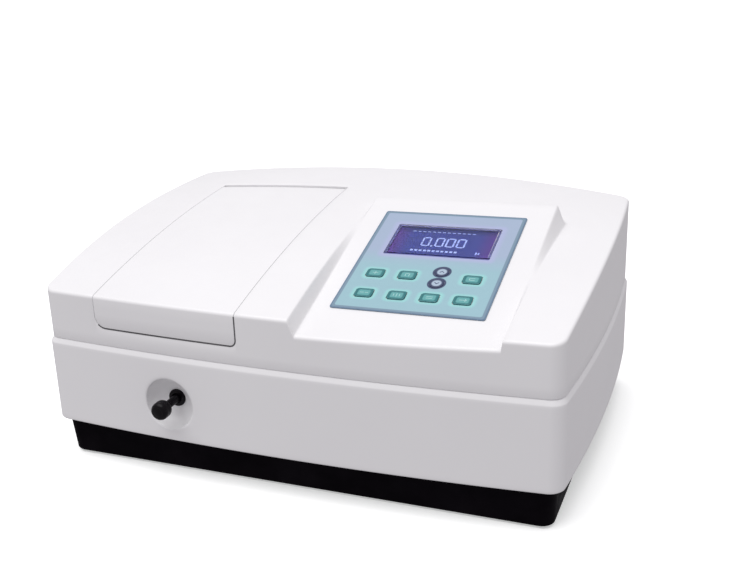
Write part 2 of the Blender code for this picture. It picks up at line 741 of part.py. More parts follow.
def make_lamps():
    base_z = 0.0363
    bracket = box("lamp_bracket", (0.128, 0.076, base_z), (0.200, 0.128, base_z + 0.003), ALUMINIUM)
    join(bracket, box("lamp_bracket_wall", (0.128, 0.1255, base_z + 0.001), (0.200, 0.128, 0.108)))
    seat = base_z + 0.0033
    halogen = [(0.0, seat + 0.050), (0.0030, seat + 0.0495), (0.0058, seat + 0.046), (0.0058, seat + 0.018),
               (0.0090, seat + 0.018), (0.0090, seat), (0.0, seat)]
    turned("halogen_lamp", halogen, (0.145, 0.100, 0.0), GLASS, steps=20)
    deuterium = [(0.0, seat + 0.068), (0.0100, seat + 0.066), (0.0140, seat + 0.060), (0.0140, seat + 0.014),
                 (0.0110, seat + 0.010), (0.0110, seat), (0.0, seat)]
    turned("deuterium_lamp", deuterium, (0.178, 0.100, 0.0), GLASS, steps=20)
    x, y = SOURCE_AT
    pivot = [(0.0, 0.0440), (0.0080, 0.0440), (0.0080, 0.0400), (0.0030, 0.0400), (0.0030, 0.0300),
             (0.0, 0.0300)]
    mirror = turned("source_mirror", pivot, (x, y, 0.0), MIRROR, steps=20)
    face = box("source_mirror_face", (x - 0.0110, y - 0.0015, 0.0430), (x + 0.0110, y + 0.0015, 0.0980))
    join(mirror, face)
    motor_block("mirror_motor", x, y, 0.0140)


def make_electronics():
    box("power_supply", (-0.205, 0.0800, TRAY_FLOOR), (-0.055, 0.1370, 0.0430), GREY_PLATE, bevel=0.001)
    board = box("main_board", (0.075, -0.130, 0.0140), (0.180, 0.070, 0.0156), BOARD)
    posts = [((x, y, TRAY_FLOOR), (x + 0.006, y + 0.006, 0.0150))
             for x in (0.078, 0.171) for y in (-0.127, 0.061)]
    chips = [
        ((0.095, -0.100, 0.0150), (0.120, -0.075, 0.0190)),
        ((0.135, -0.050, 0.0150), (0.160, -0.030, 0.0260)),
        ((0.095, 0.000, 0.0150), (0.150, 0.012, 0.0240)),
    ]
    join(board, group_of_boxes("board_posts", posts), group_of_boxes("board_chips", chips))


# ---- rear fittings ----

def make_fan():
    half = FAN_SIDE / 2
    front, back = 0.1425, 0.1575
    frame = rear_box("fan_frame", FAN_X, half, half, front, back, BLACK)
    cut(frame, rear_cylinder("fan_tunnel", FAN_X, 0.0280, 0.130, 0.170, segments=32))
    bars = [rear_box(f"fan_bar_{n}", FAN_X, across, up, front + 0.0002, front + 0.0020)
            for n, (across, up) in enumerate(((0.0290, 0.0020), (0.0020, 0.0290)))]
    disc = rear_cylinder("fan_disc", FAN_X, 0.0120, front + 0.0001, front + 0.0022, segments=24)
    join(frame, *bars, disc)

    hub_start, hub_end = front + 0.0028, back - 0.0010
    rotor = rear_cylinder("fan_rotor", FAN_X, 0.0125, hub_start, hub_end, BLACK)
    blade, blades = (0.0155, 0.0012, 0.0125), 7
    pitch = Matrix.Rotation(math.radians(50), 3, "X")

    def fill(work):
        for n in range(blades):
            verts = bmesh.ops.create_cube(work, size=1.0)["verts"]
            bmesh.ops.scale(work, vec=blade, verts=verts)
            bmesh.ops.rotate(work, cent=(0, 0, 0), matrix=pitch, verts=verts)
            bmesh.ops.translate(work, vec=(0.0187, 0, 0), verts=verts)
            around = Matrix.Rotation(n * math.tau / blades, 3, "Y")
            bmesh.ops.rotate(work, cent=(0, 0, 0), matrix=around, verts=verts)

    middle = (FAN_X, (hub_start + hub_end) / 2, REAR_Z)
    join(rotor, place("fan_blades", mesh_of("fan_blades", fill), None, middle))

    outer = REAR_PLATE_Y[1] + GAP
    guard = rear_box("fan_guard", FAN_X, half, half, outer, outer + 0.0014, GREY_PLATE)
    slots = []
    for row in range(-4, 5):
        rise = row * 0.0056
        reach = math.sqrt(0.0260 ** 2 - rise ** 2)
        for start, end in ((-reach, -0.0012), (0.0012, reach)):
            slots.append(((FAN_X + start, outer - 0.01, REAR_Z + rise - 0.0019),
                          (FAN_X + end, outer + 0.01, REAR_Z + rise + 0.0019)))
    cut(guard, group_of_boxes("guard_slots", slots))


def make_inlet(outer):
    inlet = rear_box("power_inlet", INLET_X, 0.0160, 0.0125, outer, outer + 0.0028, BLACK)
    body = rear_box("inlet_body", INLET_X, 0.0135, 0.0099, 0.1410, outer + 0.001)
    socket = rear_box("inlet_socket", INLET_X, 0.0115, 0.0079, 0.1440, 0.1700, bevel=0.0015)
    pins = group_of_boxes("inlet_pins", [
        ((INLET_X + x - 0.001, 0.1430, REAR_Z + z - 0.002), (INLET_X + x + 0.001, 0.1585, REAR_Z + z + 0.002))
        for x, z in ((-0.0070, -0.0015), (0.0, 0.0030), (0.0070, -0.0015))
    ])
    join(cut(join(inlet, body), socket), pins)


def make_switch(outer):
    bezel = rear_box("switch_bezel", SWITCH_X, 0.0085, 0.0120, outer, outer + 0.0018, BLACK)
    neck = rear_box("switch_neck", SWITCH_X, 0.0065, 0.0095, 0.1450, outer + 0.001)
    well = rear_box("switch_well", SWITCH_X, 0.0052, 0.0083, 0.1500, 0.1700)
    cut(join(bezel, neck), well)
    rocker = rear_box("power_rocker", SWITCH_X, 0.0048, 0.0072, 0.1555, 0.1625, BLACK)
    set_origin(rocker, (SWITCH_X, 0.1570, REAR_Z))
    rocker.rotation_euler = (math.radians(ROCKER_TILT), 0.0, 0.0)


def make_rear_sockets(outer):
    port = rear_box("data_port", DATA_X, 0.0155, 0.0062, outer, outer + 0.0010, STEEL)
    join(port, rear_box("data_shell", DATA_X, 0.0085, 0.0042, 0.1500, outer + 0.0058, bevel=0.002))
    cap, flange, sleeve = 0.0058, 0.0075, 0.0057
    fuse = [(0.0, 0.0060), (0.0050, 0.0060), (cap, 0.0050), (cap, 0.0022), (flange, 0.0022), (flange, GAP),
            (sleeve, GAP), (sleeve, -0.0150), (0.0, -0.0150)]
    turned("fuse_holder", fuse, (FUSE_X, REAR_PLATE_Y[1], REAR_Z), BLACK, along=(0, 1, 0), steps=24)


def make_rear_fittings():
    outer = REAR_PLATE_Y[1] + GAP
    make_inlet(outer)
    make_switch(outer)
    make_rear_sockets(outer)


# ---- console ----

def make_console_frame():
    """An empty on the console's plane: x across, y up the slope, z out of it."""
    normal = Vector((-PANEL_TILT, -PANEL_SLOPE, 1.0)).normalized()
    up_slope = Vector((0.0, 1.0, PANEL_SLOPE)).normalized()
    across = up_slope.cross(normal).normalized()
    turn = Matrix((across, normal.cross(across), normal)).transposed()
    made = bpy.data.objects.new("console_frame", None)
    PARTS.objects.link(made)
    made.parent = FRAME
    made.location = (0.0, -0.160, panel_height(0.0, -0.160))
    made.rotation_mode = "QUATERNION"
    made.rotation_quaternion = turn.to_quaternion()
    return made


def make_window_cutter(console):
    (x0, y0), (x1, y1) = WINDOW
    rim = 0.002
    return box("screen_window", (x0 + rim, y0 + rim, -0.010), (x1 - rim, y1 - rim, 0.010), parent=console)


def rounded_plate(name, size, corner, low, high, at, material, console):
    """A thin plate with round corners, lying on the console; no material makes it a cutter."""
    def fill(work):
        bmesh.ops.create_cube(work, size=1.0)
        bmesh.ops.scale(work, vec=(*size, high - low), verts=work.verts)
        upright = [e for e in work.edges if abs(e.verts[0].co.z - e.verts[1].co.z) > 1e-6]
        bmesh.ops.bevel(work, geom=upright, offset=corner, segments=4, profile=0.5, affect="EDGES")

    return place(name, mesh_of(name, fill), material, (*at, (low + high) / 2), parent=console)


def make_keypad(console):
    skin_low, skin_high = GAP, 0.0011
    hole_low, hole_high = -0.002, 0.004
    (x0, y0), (x1, y1) = OVERLAY
    centre = ((x0 + x1) / 2, (y0 + y1) / 2)
    overlay = rounded_plate("membrane_overlay", (x1 - x0, y1 - y0), 0.0015, skin_low, skin_high, centre,
                            OVERLAY_BLUE, console)
    (a0, b0), (a1, b1) = WINDOW
    middle, size = ((a0 + a1) / 2, (b0 + b1) / 2), (a1 - a0, b1 - b0)
    cut(overlay, rounded_plate("window_opening", size, 0.0015, hole_low, hole_high, middle, None, console))
    pane = [side - 2 * GAP for side in size]
    rounded_plate("display_window", pane, 0.0012, skin_low, skin_high - 0.0001, middle, GLASS, console)

    cap_low, cap_high = skin_low + KEY_TRAVEL + 0.0001, 0.0019
    front_row = [(x, KEY_ROWS[0]) for x in KEY_COLUMNS]
    back_row = [(x, KEY_ROWS[1]) for x in KEY_COLUMNS if x != ARROW_COLUMN]
    hole_size = [side + 2 * GAP for side in KEY_SIZE]
    for n, at in enumerate(front_row + back_row):
        name = f"key_{n + 1}"
        cut(overlay, rounded_plate(f"{name}_hole", hole_size, 0.0028, hole_low, hole_high, at, None, console))
        rounded_plate(name, KEY_SIZE, 0.0026, cap_low, cap_high, at, KEY_GREEN, console)
    for name, y in zip(("key_up", "key_down"), ARROW_ROWS):
        x = ARROW_COLUMN
        cut(overlay, cylinder(f"{name}_hole", ARROW_R + GAP, (x, y, hole_low), (x, y, hole_high),
                              segments=24, parent=console))
        cylinder(name, ARROW_R, (x, y, cap_low), (x, y, cap_high), KEY_DARK, segments=24, parent=console)

    board, pane_rim = 0.006, 0.003
    depth = -WALL - 2 * GAP
    screen = box("lcd_module", (a0 - board, b0 - board, depth - 0.008), (a1 + board, b1 + board, depth),
                 SCREEN, parent=console)
    join(screen, box("lcd_glass", (a0 + pane_rim, b0 + pane_rim, depth - 0.001),
                     (a1 - pane_rim, b1 - pane_rim, -2 * GAP), parent=console))


def main():
    console = make_console_frame()
    make_base_tray()
    make_feet()
    make_lower_housing()
    make_upper_housing(make_window_cutter(console))
    make_rear_panel()
    make_lid()
    make_hinge()
    make_compartment()
    make_compartment_supports()
    make_changer()
    make_detector()
    make_bench()
    make_grating()
    make_lamps()
    make_electronics()
    make_fan()
    make_rear_fittings()
    make_keypad(console)


main()
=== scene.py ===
import math

import bpy
from mathutils import Matrix, Vector


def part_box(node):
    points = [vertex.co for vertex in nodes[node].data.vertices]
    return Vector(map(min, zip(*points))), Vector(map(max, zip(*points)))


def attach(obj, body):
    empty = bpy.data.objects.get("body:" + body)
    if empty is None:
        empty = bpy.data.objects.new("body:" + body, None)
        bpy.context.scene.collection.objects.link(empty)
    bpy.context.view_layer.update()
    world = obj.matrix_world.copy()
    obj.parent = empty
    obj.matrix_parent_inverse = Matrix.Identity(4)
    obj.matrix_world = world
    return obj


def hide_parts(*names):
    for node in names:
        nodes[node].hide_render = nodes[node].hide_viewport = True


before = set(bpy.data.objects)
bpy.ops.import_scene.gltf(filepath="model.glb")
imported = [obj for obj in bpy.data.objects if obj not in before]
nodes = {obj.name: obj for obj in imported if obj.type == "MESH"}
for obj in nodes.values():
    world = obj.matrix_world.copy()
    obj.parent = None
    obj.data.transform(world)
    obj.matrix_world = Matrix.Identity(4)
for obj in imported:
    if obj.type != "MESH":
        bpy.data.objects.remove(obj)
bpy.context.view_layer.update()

print("frame loaded,", len(nodes), "nodes")


def deselectAll():
    if bpy.context.object and bpy.context.object.mode != "OBJECT":
        bpy.ops.object.mode_set(mode="OBJECT")
    bpy.ops.object.select_all(action="DESELECT")


def takeUp(piece):
    deselectAll()
    piece.select_set(True)
    bpy.context.view_layer.objects.active = piece


def pick(piece, kind, wanted):
    # leaves the piece in edit mode with only the wanted faces or edges selected
    takeUp(piece)
    mesh = piece.data
    for group in (mesh.vertices, mesh.edges, mesh.polygons):
        group.foreach_set("select", [False] * len(group))
    if kind == "FACE":
        for face in mesh.polygons:
            face.select = wanted(face.center, face.normal)
    else:
        for edge in mesh.edges:
            a, b = (mesh.vertices[i].co for i in edge.vertices)
            edge.select = wanted((a + b) / 2, b - a)
    bpy.context.tool_settings.mesh_select_mode = (False, kind == "EDGE", kind == "FACE")
    bpy.ops.object.mode_set(mode="EDIT")


def editAll(piece):
    takeUp(piece)
    bpy.context.tool_settings.mesh_select_mode = (False, False, True)
    bpy.ops.object.mode_set(mode="EDIT")
    bpy.ops.mesh.select_all(action="SELECT")


def mergePoints(piece, within=0.000002):
    editAll(piece)
    bpy.ops.mesh.remove_doubles(threshold=within)
    bpy.ops.mesh.normals_make_consistent(inside=False)
    deselectAll()
    return piece


def faceTowards(piece, wanted):
    # an open sheet: turn it over if most of its area looks away from the wanted direction
    flow = sum((face.normal * face.area for face in piece.data.polygons), Vector())
    if flow.dot(Vector(wanted)) < 0:
        editAll(piece)
        bpy.ops.mesh.flip_normals()
        deselectAll()


def applied(piece, kind, **settings):
    takeUp(piece)
    step = piece.modifiers.new(kind.lower(), kind)
    for key, value in settings.items():
        setattr(step, key, value)
    bpy.ops.object.modifier_apply(modifier=step.name)
    return piece


def wallIn(piece, thickness):
    return applied(piece, "SOLIDIFY", thickness=thickness, offset=-1.0, use_even_offset=True)


def softEdges(piece, width, segments=2, angle=50):
    return applied(piece, "BEVEL", width=width, segments=segments, limit_method="ANGLE",
                   angle_limit=math.radians(angle), harden_normals=False)


def smooth(piece, angle=35):
    takeUp(piece)
    bpy.ops.object.shade_smooth_by_angle(angle=math.radians(angle))
    return piece


def settle(piece):
    # the place goes into the mesh, and the object stays at the origin
    takeUp(piece)
    bpy.ops.object.transform_apply(location=True, rotation=True, scale=True)
    return piece


def named(piece, name):
    piece.name = name
    piece.data.name = name
    return piece


def dress(piece, finish, body, slotName, *standsFor):
    piece.data.materials.clear()
    piece.data.materials.append(finish)
    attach(piece, body)
    if standsFor:
        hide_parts(*standsFor)
    return piece


def gridPiece(name, across, along, place):
    # a grid whose crossings are set by the form's own lines
    deselectAll()
    nx, ny = len(across) - 1, len(along) - 1
    bpy.ops.mesh.primitive_grid_add(x_subdivisions=nx, y_subdivisions=ny, size=1.0)
    piece = named(bpy.context.object, name)
    for point in piece.data.vertices:
        i, j = round((point.co.x + 0.5) * nx), round((point.co.y + 0.5) * ny)
        point.co = place(across[i], along[j])
    piece.data.update()
    return piece


def closeEnds(piece):
    # fills the open ends and turns every face outward
    pick(piece, "EDGE", lambda at, way: False)
    bpy.ops.mesh.select_non_manifold()
    bpy.ops.mesh.fill_holes(sides=0)
    bpy.ops.mesh.select_all(action="SELECT")
    bpy.ops.mesh.normals_make_consistent(inside=False)
    deselectAll()


def boxPiece(name, low, high, round=0.0):
    deselectAll()
    low, high = Vector(low), Vector(high)
    bpy.ops.mesh.primitive_cube_add(size=1.0, location=(low + high) / 2)
    piece = named(bpy.context.object, name)
    piece.scale = high - low
    settle(piece)
    return softEdges(piece, round, 2, 30) if round else piece


def rodPiece(name, radius, start, end, sides):
    deselectAll()
    start, end = Vector(start), Vector(end)
    along = end - start
    bpy.ops.mesh.primitive_cylinder_add(vertices=sides, radius=radius, depth=along.length,
                                        location=(start + end) / 2,
                                        rotation=along.to_track_quat("Z", "Y").to_euler())
    return smooth(settle(named(bpy.context.object, name)), 30)


def placed(piece, at, along):
    # the piece's own upward axis is laid along the wanted direction, at the wanted spot
    turn = Vector(along).to_track_quat("Z", "Y").to_matrix().to_4x4()
    piece.data.transform(Matrix.Translation(at) @ turn)


def turnedPiece(name, profile, at, along, steps):
    # (radius, height) points spun in edit mode round the piece's own axis
    deselectAll()
    outline = bpy.data.meshes.new(name)
    outline.from_pydata([(radius, 0, height) for radius, height in profile],
                        [(i, i + 1) for i in range(len(profile) - 1)], [])
    piece = bpy.data.objects.new(name, outline)
    bpy.context.scene.collection.objects.link(piece)
    takeUp(piece)
    bpy.context.tool_settings.mesh_select_mode = (True, False, False)
    bpy.ops.object.mode_set(mode="EDIT")
    bpy.ops.mesh.select_all(action="SELECT")
    bpy.ops.mesh.spin(steps=steps, angle=math.tau, center=(0, 0, 0), axis=(0, 0, 1))
    deselectAll()
    mergePoints(piece, 0.00001)
    placed(piece, at, along)
    return smooth(piece, 28)


def joined(name, pieces):
    deselectAll()
    for piece in pieces:
        piece.select_set(True)
    bpy.context.view_layer.objects.active = pieces[0]
    bpy.ops.object.join()
    return named(bpy.context.object, name)


def lines(stops, spacing):
    # the stops, with even steps between them
    made = [stops[0]]
    for low, high in zip(stops, stops[1:]):
        count = max(1, round((high - low) / spacing))
        made += [low + (high - low) * (n + 1) / count for n in range(count)]
    return made


def quarter(count):
    return [math.radians(90 * n / count) for n in range(count + 1)]


class Link:
    # a shader socket that can stand in a sum
    def __init__(self, recipe, socket):
        self.recipe = recipe
        self.socket = socket

    def __add__(self, other): return self.recipe.sum("ADD", self, other)
    def __sub__(self, other): return self.recipe.sum("SUBTRACT", self, other)
    def __mul__(self, other): return self.recipe.sum("MULTIPLY", self, other)
    def __lt__(self, other): return self.recipe.sum("LESS_THAN", self, other)
    def __gt__(self, other): return self.recipe.sum("GREATER_THAN", self, other)
    def __pow__(self, other): return self.recipe.sum("POWER", self, other)
    def __abs__(self): return self.recipe.sum("ABSOLUTE", self)


class Recipe:
    def __init__(self, name, colour, roughness, **fixed):
        self.material = bpy.data.materials.new(name)
        self.material.use_nodes = True
        self.tree = self.material.node_tree
        self.shader = self.tree.nodes["Principled BSDF"]
        self.shader.inputs["Base Color"].default_value = (*colour, 1)
        self.shader.inputs["Roughness"].default_value = roughness
        for key, value in fixed.items():
            self.shader.inputs[key.replace("_", " ")].default_value = value
        self.material.diffuse_color = (*colour, 1)

    def node(self, kind, settings=None, inputs=None, output=0):
        made = self.tree.nodes.new(kind)
        for key, value in (settings or {}).items():
            if key == "stops":
                ramp = made.color_ramp.elements
                while len(ramp) < len(value):
                    ramp.new(1.0)
                for stop, (at, colour) in zip(ramp, value):
                    stop.position, stop.color = at, (*colour, 1)
            else:
                setattr(made, key, value)
        for key, value in (inputs or {}).items():
            if isinstance(value, Link):
                self.tree.links.new(value.socket, made.inputs[key])
            else:
                made.inputs[key].default_value = value
        return Link(self, made.outputs[output])

    def sum(self, operation, *values):
        return self.node("ShaderNodeMath", {"operation": operation}, dict(enumerate(values)))

    def place(self):
        return self.node("ShaderNodeTexCoord", output="Object")

    def dot(self, vector, direction):
        return self.node("ShaderNodeVectorMath", {"operation": "DOT_PRODUCT"},
                         {0: vector, 1: direction}, "Value")

    def axis(self, vector, index):
        return self.node("ShaderNodeSeparateXYZ", inputs={0: vector}, output=index)

    def stretched(self, vector, scale):
        return self.node("ShaderNodeMapping", inputs={"Vector": vector, "Scale": scale})

    def noise(self, vector, scale, detail=3.0, rough=0.5):
        return self.node("ShaderNodeTexNoise", inputs={
            "Vector": vector, "Scale": scale, "Detail": detail, "Roughness": rough})

    def spread(self, value, low, high, outLow=0.0, outHigh=1.0):
        return self.node("ShaderNodeMapRange", {"clamp": True},
                         {0: value, 1: low, 2: high, 3: outLow, 4: outHigh})

    def mix(self, share, first, second):
        first, second = (c if isinstance(c, Link) else (*c, 1) for c in (first, second))
        return self.node("ShaderNodeMix", {"data_type": "RGBA"}, {0: share, 6: first, 7: second}, 2)

    def most(self, first, second):
        return self.sum("MAXIMUM", first, second)

    def feed(self, socket, value):
        self.tree.links.new(value.socket, self.shader.inputs[socket])

    def bump(self, height, distance, strength=1.0):
        normal = self.node("ShaderNodeBump", inputs={
            "Strength": strength, "Distance": distance, "Height": height})
        self.feed("Normal", normal)


def mouldedWhite():
    look = {"light": (0.885, 0.882, 0.890), "shade": (0.860, 0.856, 0.866), "rough": (0.36, 0.47),
            "grain": 1900, "cloud": 5.5}
    make = Recipe("moulded white", look["light"], 0.4, Coat_Weight=0.12, Coat_Roughness=0.25,
                  IOR=1.49)
    at = make.place()
    cloud = make.noise(at, look["cloud"], 4)
    make.feed("Base Color", make.mix(make.spread(cloud, 0.35, 0.7), look["light"], look["shade"]))
    make.feed("Roughness", make.spread(make.noise(at, 70, 4, 0.6), 0.3, 0.7, *look["rough"]))
    grain = make.noise(at, look["grain"], 2, 0.6)
    wave = make.noise(at, 9, 1)
    make.bump(grain * 0.00004 + wave * 0.0006, 1.0, 0.5)
    return make.material


def mouldedDark(name, colour, rough, grain, depth, **fixed):
    make = Recipe(name, colour, sum(rough) / 2, **fixed)
    at = make.place()
    lighter = tuple(c * 1.6 + 0.0015 for c in colour)
    make.feed("Base Color", make.mix(make.spread(make.noise(at, 24, 5, 0.6), 0.4, 0.75), colour,
                                     lighter))
    make.feed("Roughness", make.spread(make.noise(at, 90, 4), 0.3, 0.7, *rough))
    make.bump(make.noise(at, grain, 3, 0.6) * depth, 1.0, 0.6)
    return make.material


def brushedMetal(name, colour, rough, stretch):
    # fine lines run along the axis that the stretch makes short
    make = Recipe(name, colour, sum(rough) / 2, Metallic=1.0)
    at = make.stretched(make.place(), stretch)
    strokes = make.noise(at, 1400, 3, 0.7)
    darker = tuple(c * 0.72 for c in colour)
    make.feed("Base Color", make.mix(make.spread(strokes, 0.35, 0.7), colour, darker))
    make.feed("Roughness", make.spread(strokes, 0.3, 0.7, *rough))
    make.bump(strokes * 0.00003, 1.0, 0.5)
    return make.material


def castMetal(name, colour, rough, grain, depth):
    make = Recipe(name, colour, sum(rough) / 2, Metallic=1.0)
    at = make.place()
    pits = make.noise(at, grain, 5, 0.65)
    stain = make.noise(at, 18, 4, 0.6)
    darker = tuple(c * 0.66 for c in colour)
    make.feed("Base Color", make.mix(make.spread(stain, 0.38, 0.72), colour, darker))
    make.feed("Roughness", make.spread(pits, 0.3, 0.75, *rough))
    make.bump(pits * depth, 1.0, 0.7)
    return make.material


def platedSheet(name, colour):
    # zinc spangle: crystal patches a few millimetres across
    make = Recipe(name, colour, 0.42, Metallic=0.55)
    at = make.place()
    patch = make.node("ShaderNodeTexVoronoi", {"feature": "F1"}, {"Vector": at, "Scale": 240},
                      "Color")
    tone = make.axis(patch, 0)
    lighter = tuple(min(1, c * 1.22) for c in colour)
    make.feed("Base Color", make.mix(tone, colour, lighter))
    make.feed("Roughness", make.spread(tone + make.noise(at, 60, 3) * 0.5, 0.2, 1.3, 0.32, 0.55))
    make.bump(make.noise(at, 1200, 2) * 0.00002, 1.0, 0.5)
    return make.material


def clearGlass(name, tint, rough=0.02, ior=1.46):
    make = Recipe(name, tint, rough, Transmission_Weight=1.0, IOR=ior)
    at = make.place()
    haze = make.noise(at, 160, 4, 0.6)
    make.feed("Roughness", make.spread(haze, 0.45, 0.8, rough, rough + 0.05))
    return make.material


def mirrorFace(name, colour, ruled=False):
    make = Recipe(name, colour, 0.05, Metallic=1.0)
    at = make.place()
    dust = make.noise(at, 420, 5, 0.7)
    make.feed("Roughness", make.spread(dust, 0.55, 0.8, 0.03, 0.16))
    if ruled:
        # painted reflection: the rulings split light into bands across the blank, painted here as
        # fixed colour bands in the base colour
        stops = [(0.0, (0.9, 0.55, 0.5)), (0.5, (0.55, 0.85, 0.6)), (1.0, (0.5, 0.6, 0.95))]
        band = make.node("ShaderNodeTexWave", {"bands_direction": "X"}, {
            "Vector": at, "Scale": 14, "Distortion": 1.5})
        painted_rainbow = make.node("ShaderNodeValToRGB", {"stops": stops}, {0: band})
        make.feed("Base Color", make.mix(0.45, colour, painted_rainbow))
    else:
        make.feed("Base Color", make.mix(make.spread(dust, 0.6, 0.85), colour, (0.6, 0.62, 0.64)))
    return make.material


def boardFinish():
    look = {"mask": (0.012, 0.105, 0.045), "track": (0.03, 0.20, 0.09),
            "chip": (0.012, 0.012, 0.013), "boardZ": (0.0139, 0.0157)}
    make = Recipe("circuit board", look["mask"], 0.35, Coat_Weight=0.3)
    at = make.place()
    height = make.axis(at, 2)
    low, high = look["boardZ"]
    board = (height > low) * (height < high)
    tracks = make.node("ShaderNodeTexBrick", None, {
        "Vector": at, "Scale": 90, "Mortar Size": 0.06, "Color1": (0, 0, 0, 1),
        "Color2": (0, 0, 0, 1), "Mortar": (1, 1, 1, 1)})
    track = make.axis(tracks, 0)
    green = make.mix(track, look["mask"], look["track"])
    make.feed("Base Color", make.mix(board, look["chip"], green))
    make.feed("Roughness", make.spread(make.noise(at, 120, 3), 0.3, 0.7, 0.28, 0.5))
    make.bump(track * 0.00005, 1.0, 0.6)
    return make.material


finishes = {
    "white": mouldedWhite(),
    "black": mouldedDark("moulded black", (0.0026, 0.0018, 0.0030), (0.55, 0.70), 1700, 0.00005,
                         Specular_IOR_Level=0.02),
    "knob": mouldedDark("polished black", (0.003, 0.0022, 0.0034), (0.24, 0.34), 900, 0.00001,
                        Specular_IOR_Level=0.14),
    "rubber": mouldedDark("foot rubber", (0.020, 0.019, 0.018), (0.78, 0.92), 900, 0.00012),
    "paint": mouldedDark("matt black paint", (0.016, 0.016, 0.017), (0.62, 0.82), 520, 0.00010),
    # painted shade: a dark grey for the strip that darkens the lid's gap line
    "foam": mouldedDark("seal foam", (0.024, 0.023, 0.024), (0.9, 1.0), 1300, 0.00035),
    "gap_shade": mouldedDark("painted gap shade", (0.075, 0.073, 0.078), (0.8, 0.9), 1300, 0.00010),
    "anodised": mouldedDark("black anodised", (0.026, 0.026, 0.030), (0.34, 0.46), 2400, 0.00002,
                            Metallic=0.55),
    "steel": brushedMetal("ground steel", (0.58, 0.58, 0.60), (0.20, 0.36), (1, 0.04, 1)),
    "plated": brushedMetal("plated steel", (0.66, 0.65, 0.63), (0.22, 0.34), (0.06, 1, 1)),
    "cast": castMetal("cast aluminium", (0.52, 0.53, 0.54), (0.42, 0.62), 700, 0.00010),
    "sheet": platedSheet("plated sheet", (0.40, 0.41, 0.42)),
    "glass": clearGlass("lamp glass", (0.96, 0.98, 1.0)),
    "film": clearGlass("window film", (0.97, 0.98, 1.0), 0.05, 1.20),
    "mirror": mirrorFace("mirror coating", (0.86, 0.87, 0.89)),
    # painted reflection: the grating's colour bands are painted into its base colour
    "grating": mirrorFace("ruled grating", (0.80, 0.82, 0.86), ruled=True),
    "board": boardFinish(),
}
print("finishes mixed")


form = {
    "halfWidth": 0.232, "sideBulge": 0.009, "frontY": -0.155, "frontBulge": 0.0105, "backY": 0.157,
    "backBulge": 0.008, "corner": 0.011, "edge": 0.0025, "wall": 0.003, "seam": 0.1175,
    "seamGap": 0.0003, "shiftY": 0.0086, "topFront": 0.161, "topRise": 0.0365, "topPower": 2.2,
    "depth": 0.320, "crown": 0.003, "crownGrowth": 0.011, "crownHalf": 0.235, "halfDepth": 0.1630,
    "spacing": 0.0065, "rimDrops": (0.0012, 0.1400, 0.1270), "deck": -0.160,
    "bulgeY": (0.015, 0.172), "fade": (0.080, 0.115),
}
console = {
    "height": 0.1507, "slope": 0.30, "tilt": 0.020, "left": 0.0175, "leftFoot": 0.0105,
    "right": 0.185, "rightFoot": 0.193, "back": 0.043, "backFoot": 0.051, "length": 0.203,
    "window": ((0.0528, 0.1200), (0.1450, 0.1645)), "origin": (0.012, -0.160),
}
lidForm = {"left": -0.1765, "right": -0.0375, "lip": 0.1345, "corners": (0.010, 0.005),
           "gap": 0.0010, "hingeY": 0.083, "hingeDepth": 0.0054, "clearance": 0.0072,
           "frontRows": (0.1468, 0.1520)}


def frontLine(x):
    return form["frontY"] - form["frontBulge"] * (1 - (x / form["halfWidth"]) ** 2)


def shifted(x, y, z):
    return Vector((x, y + form["shiftY"], z))


def smoothStep(value, zeroAt, oneAt):
    share = min(max((value - zeroAt) / (oneAt - zeroAt), 0.0), 1.0)
    return share * share * (3 - 2 * share)


def roundedRamp(share, turn=0.13):
    # straight from 0 to 1 with a soft bend at each end
    def bend(value):
        if value < -turn:
            return 0.0
        return value if value > turn else (value + turn) ** 2 / (4 * turn)
    return (bend(share - turn) - bend(share - 1 + turn)) / (1 - 2 * turn)


def bulged(x, y):
    middle, reach = form["bulgeY"]
    side = form["sideBulge"] * (1 - ((y - middle) / reach) ** 2)
    side *= smoothStep(abs(x), console["rightFoot"], form["halfWidth"] - form["corner"])
    end = 1 - (x / form["halfWidth"]) ** 2
    front = form["frontBulge"] * end * smoothStep(-y, form["fade"][0],
                                                  -form["frontY"] - form["corner"])
    back = form["backBulge"] * end * smoothStep(y, form["fade"][1], form["backY"] - form["corner"])
    return x + math.copysign(side, x), y - front + back


def cornerRounded(x, y):
    # square corner lines carried onto arcs; also says how far in from the edge the point lies
    corner = form["corner"]
    across = form["halfWidth"] - abs(x)
    along = y - form["frontY"] if y < 0 else form["backY"] - y
    if across >= corner or along >= corner:
        return x, y, min(across, along)
    u, v = 1 - across / corner, 1 - along / corner
    length = math.hypot(u, v)
    if length == 0:
        return x, y, corner
    reach = max(u, v) / length
    x = math.copysign(form["halfWidth"] - corner * (1 - u * reach), x)
    edge = corner * (1 - v * reach)
    y = form["frontY"] + edge if y < 0 else form["backY"] - edge
    return x, y, corner * (1 - length * reach)


def crown(x, y):
    share = (y - form["deck"]) / form["depth"]
    spine = form["topFront"] + form["topRise"] * (1 - max(1 - share, 0.0) ** form["topPower"])
    rise = form["crown"] + form["crownGrowth"] * share
    return spine + rise * (1 - (x / form["crownHalf"]) ** 2)


def panelHeight(x, y):
    x0, y0 = console["origin"]
    return console["height"] + console["slope"] * (y - y0) + console["tilt"] * (x - x0)


def edgeDrop(inset):
    edge = form["edge"]
    return 0.0 if inset >= edge else edge - math.sqrt(edge ** 2 - (edge - inset) ** 2)


edgeInsets = [form["edge"] * (1 - math.cos(turn)) for turn in quarter(6)]
edgeInsets += [0.0036, 0.0050, 0.0065, 0.0081, 0.0096, form["corner"]]
bendShares = (0.0, 0.07, 0.14, 0.21, 0.28, 0.50, 0.72, 0.79, 0.86, 0.93, 1.0)


def planLines(low, high, stops, spacing):
    inner = lines([low + form["corner"]] + stops + [high - form["corner"]], spacing)
    insets = edgeInsets[:-1]
    return [low + inset for inset in insets] + inner + [high - inset for inset in insets[::-1]]


def between(low, high):
    return [low + (high - low) * share for share in bendShares]


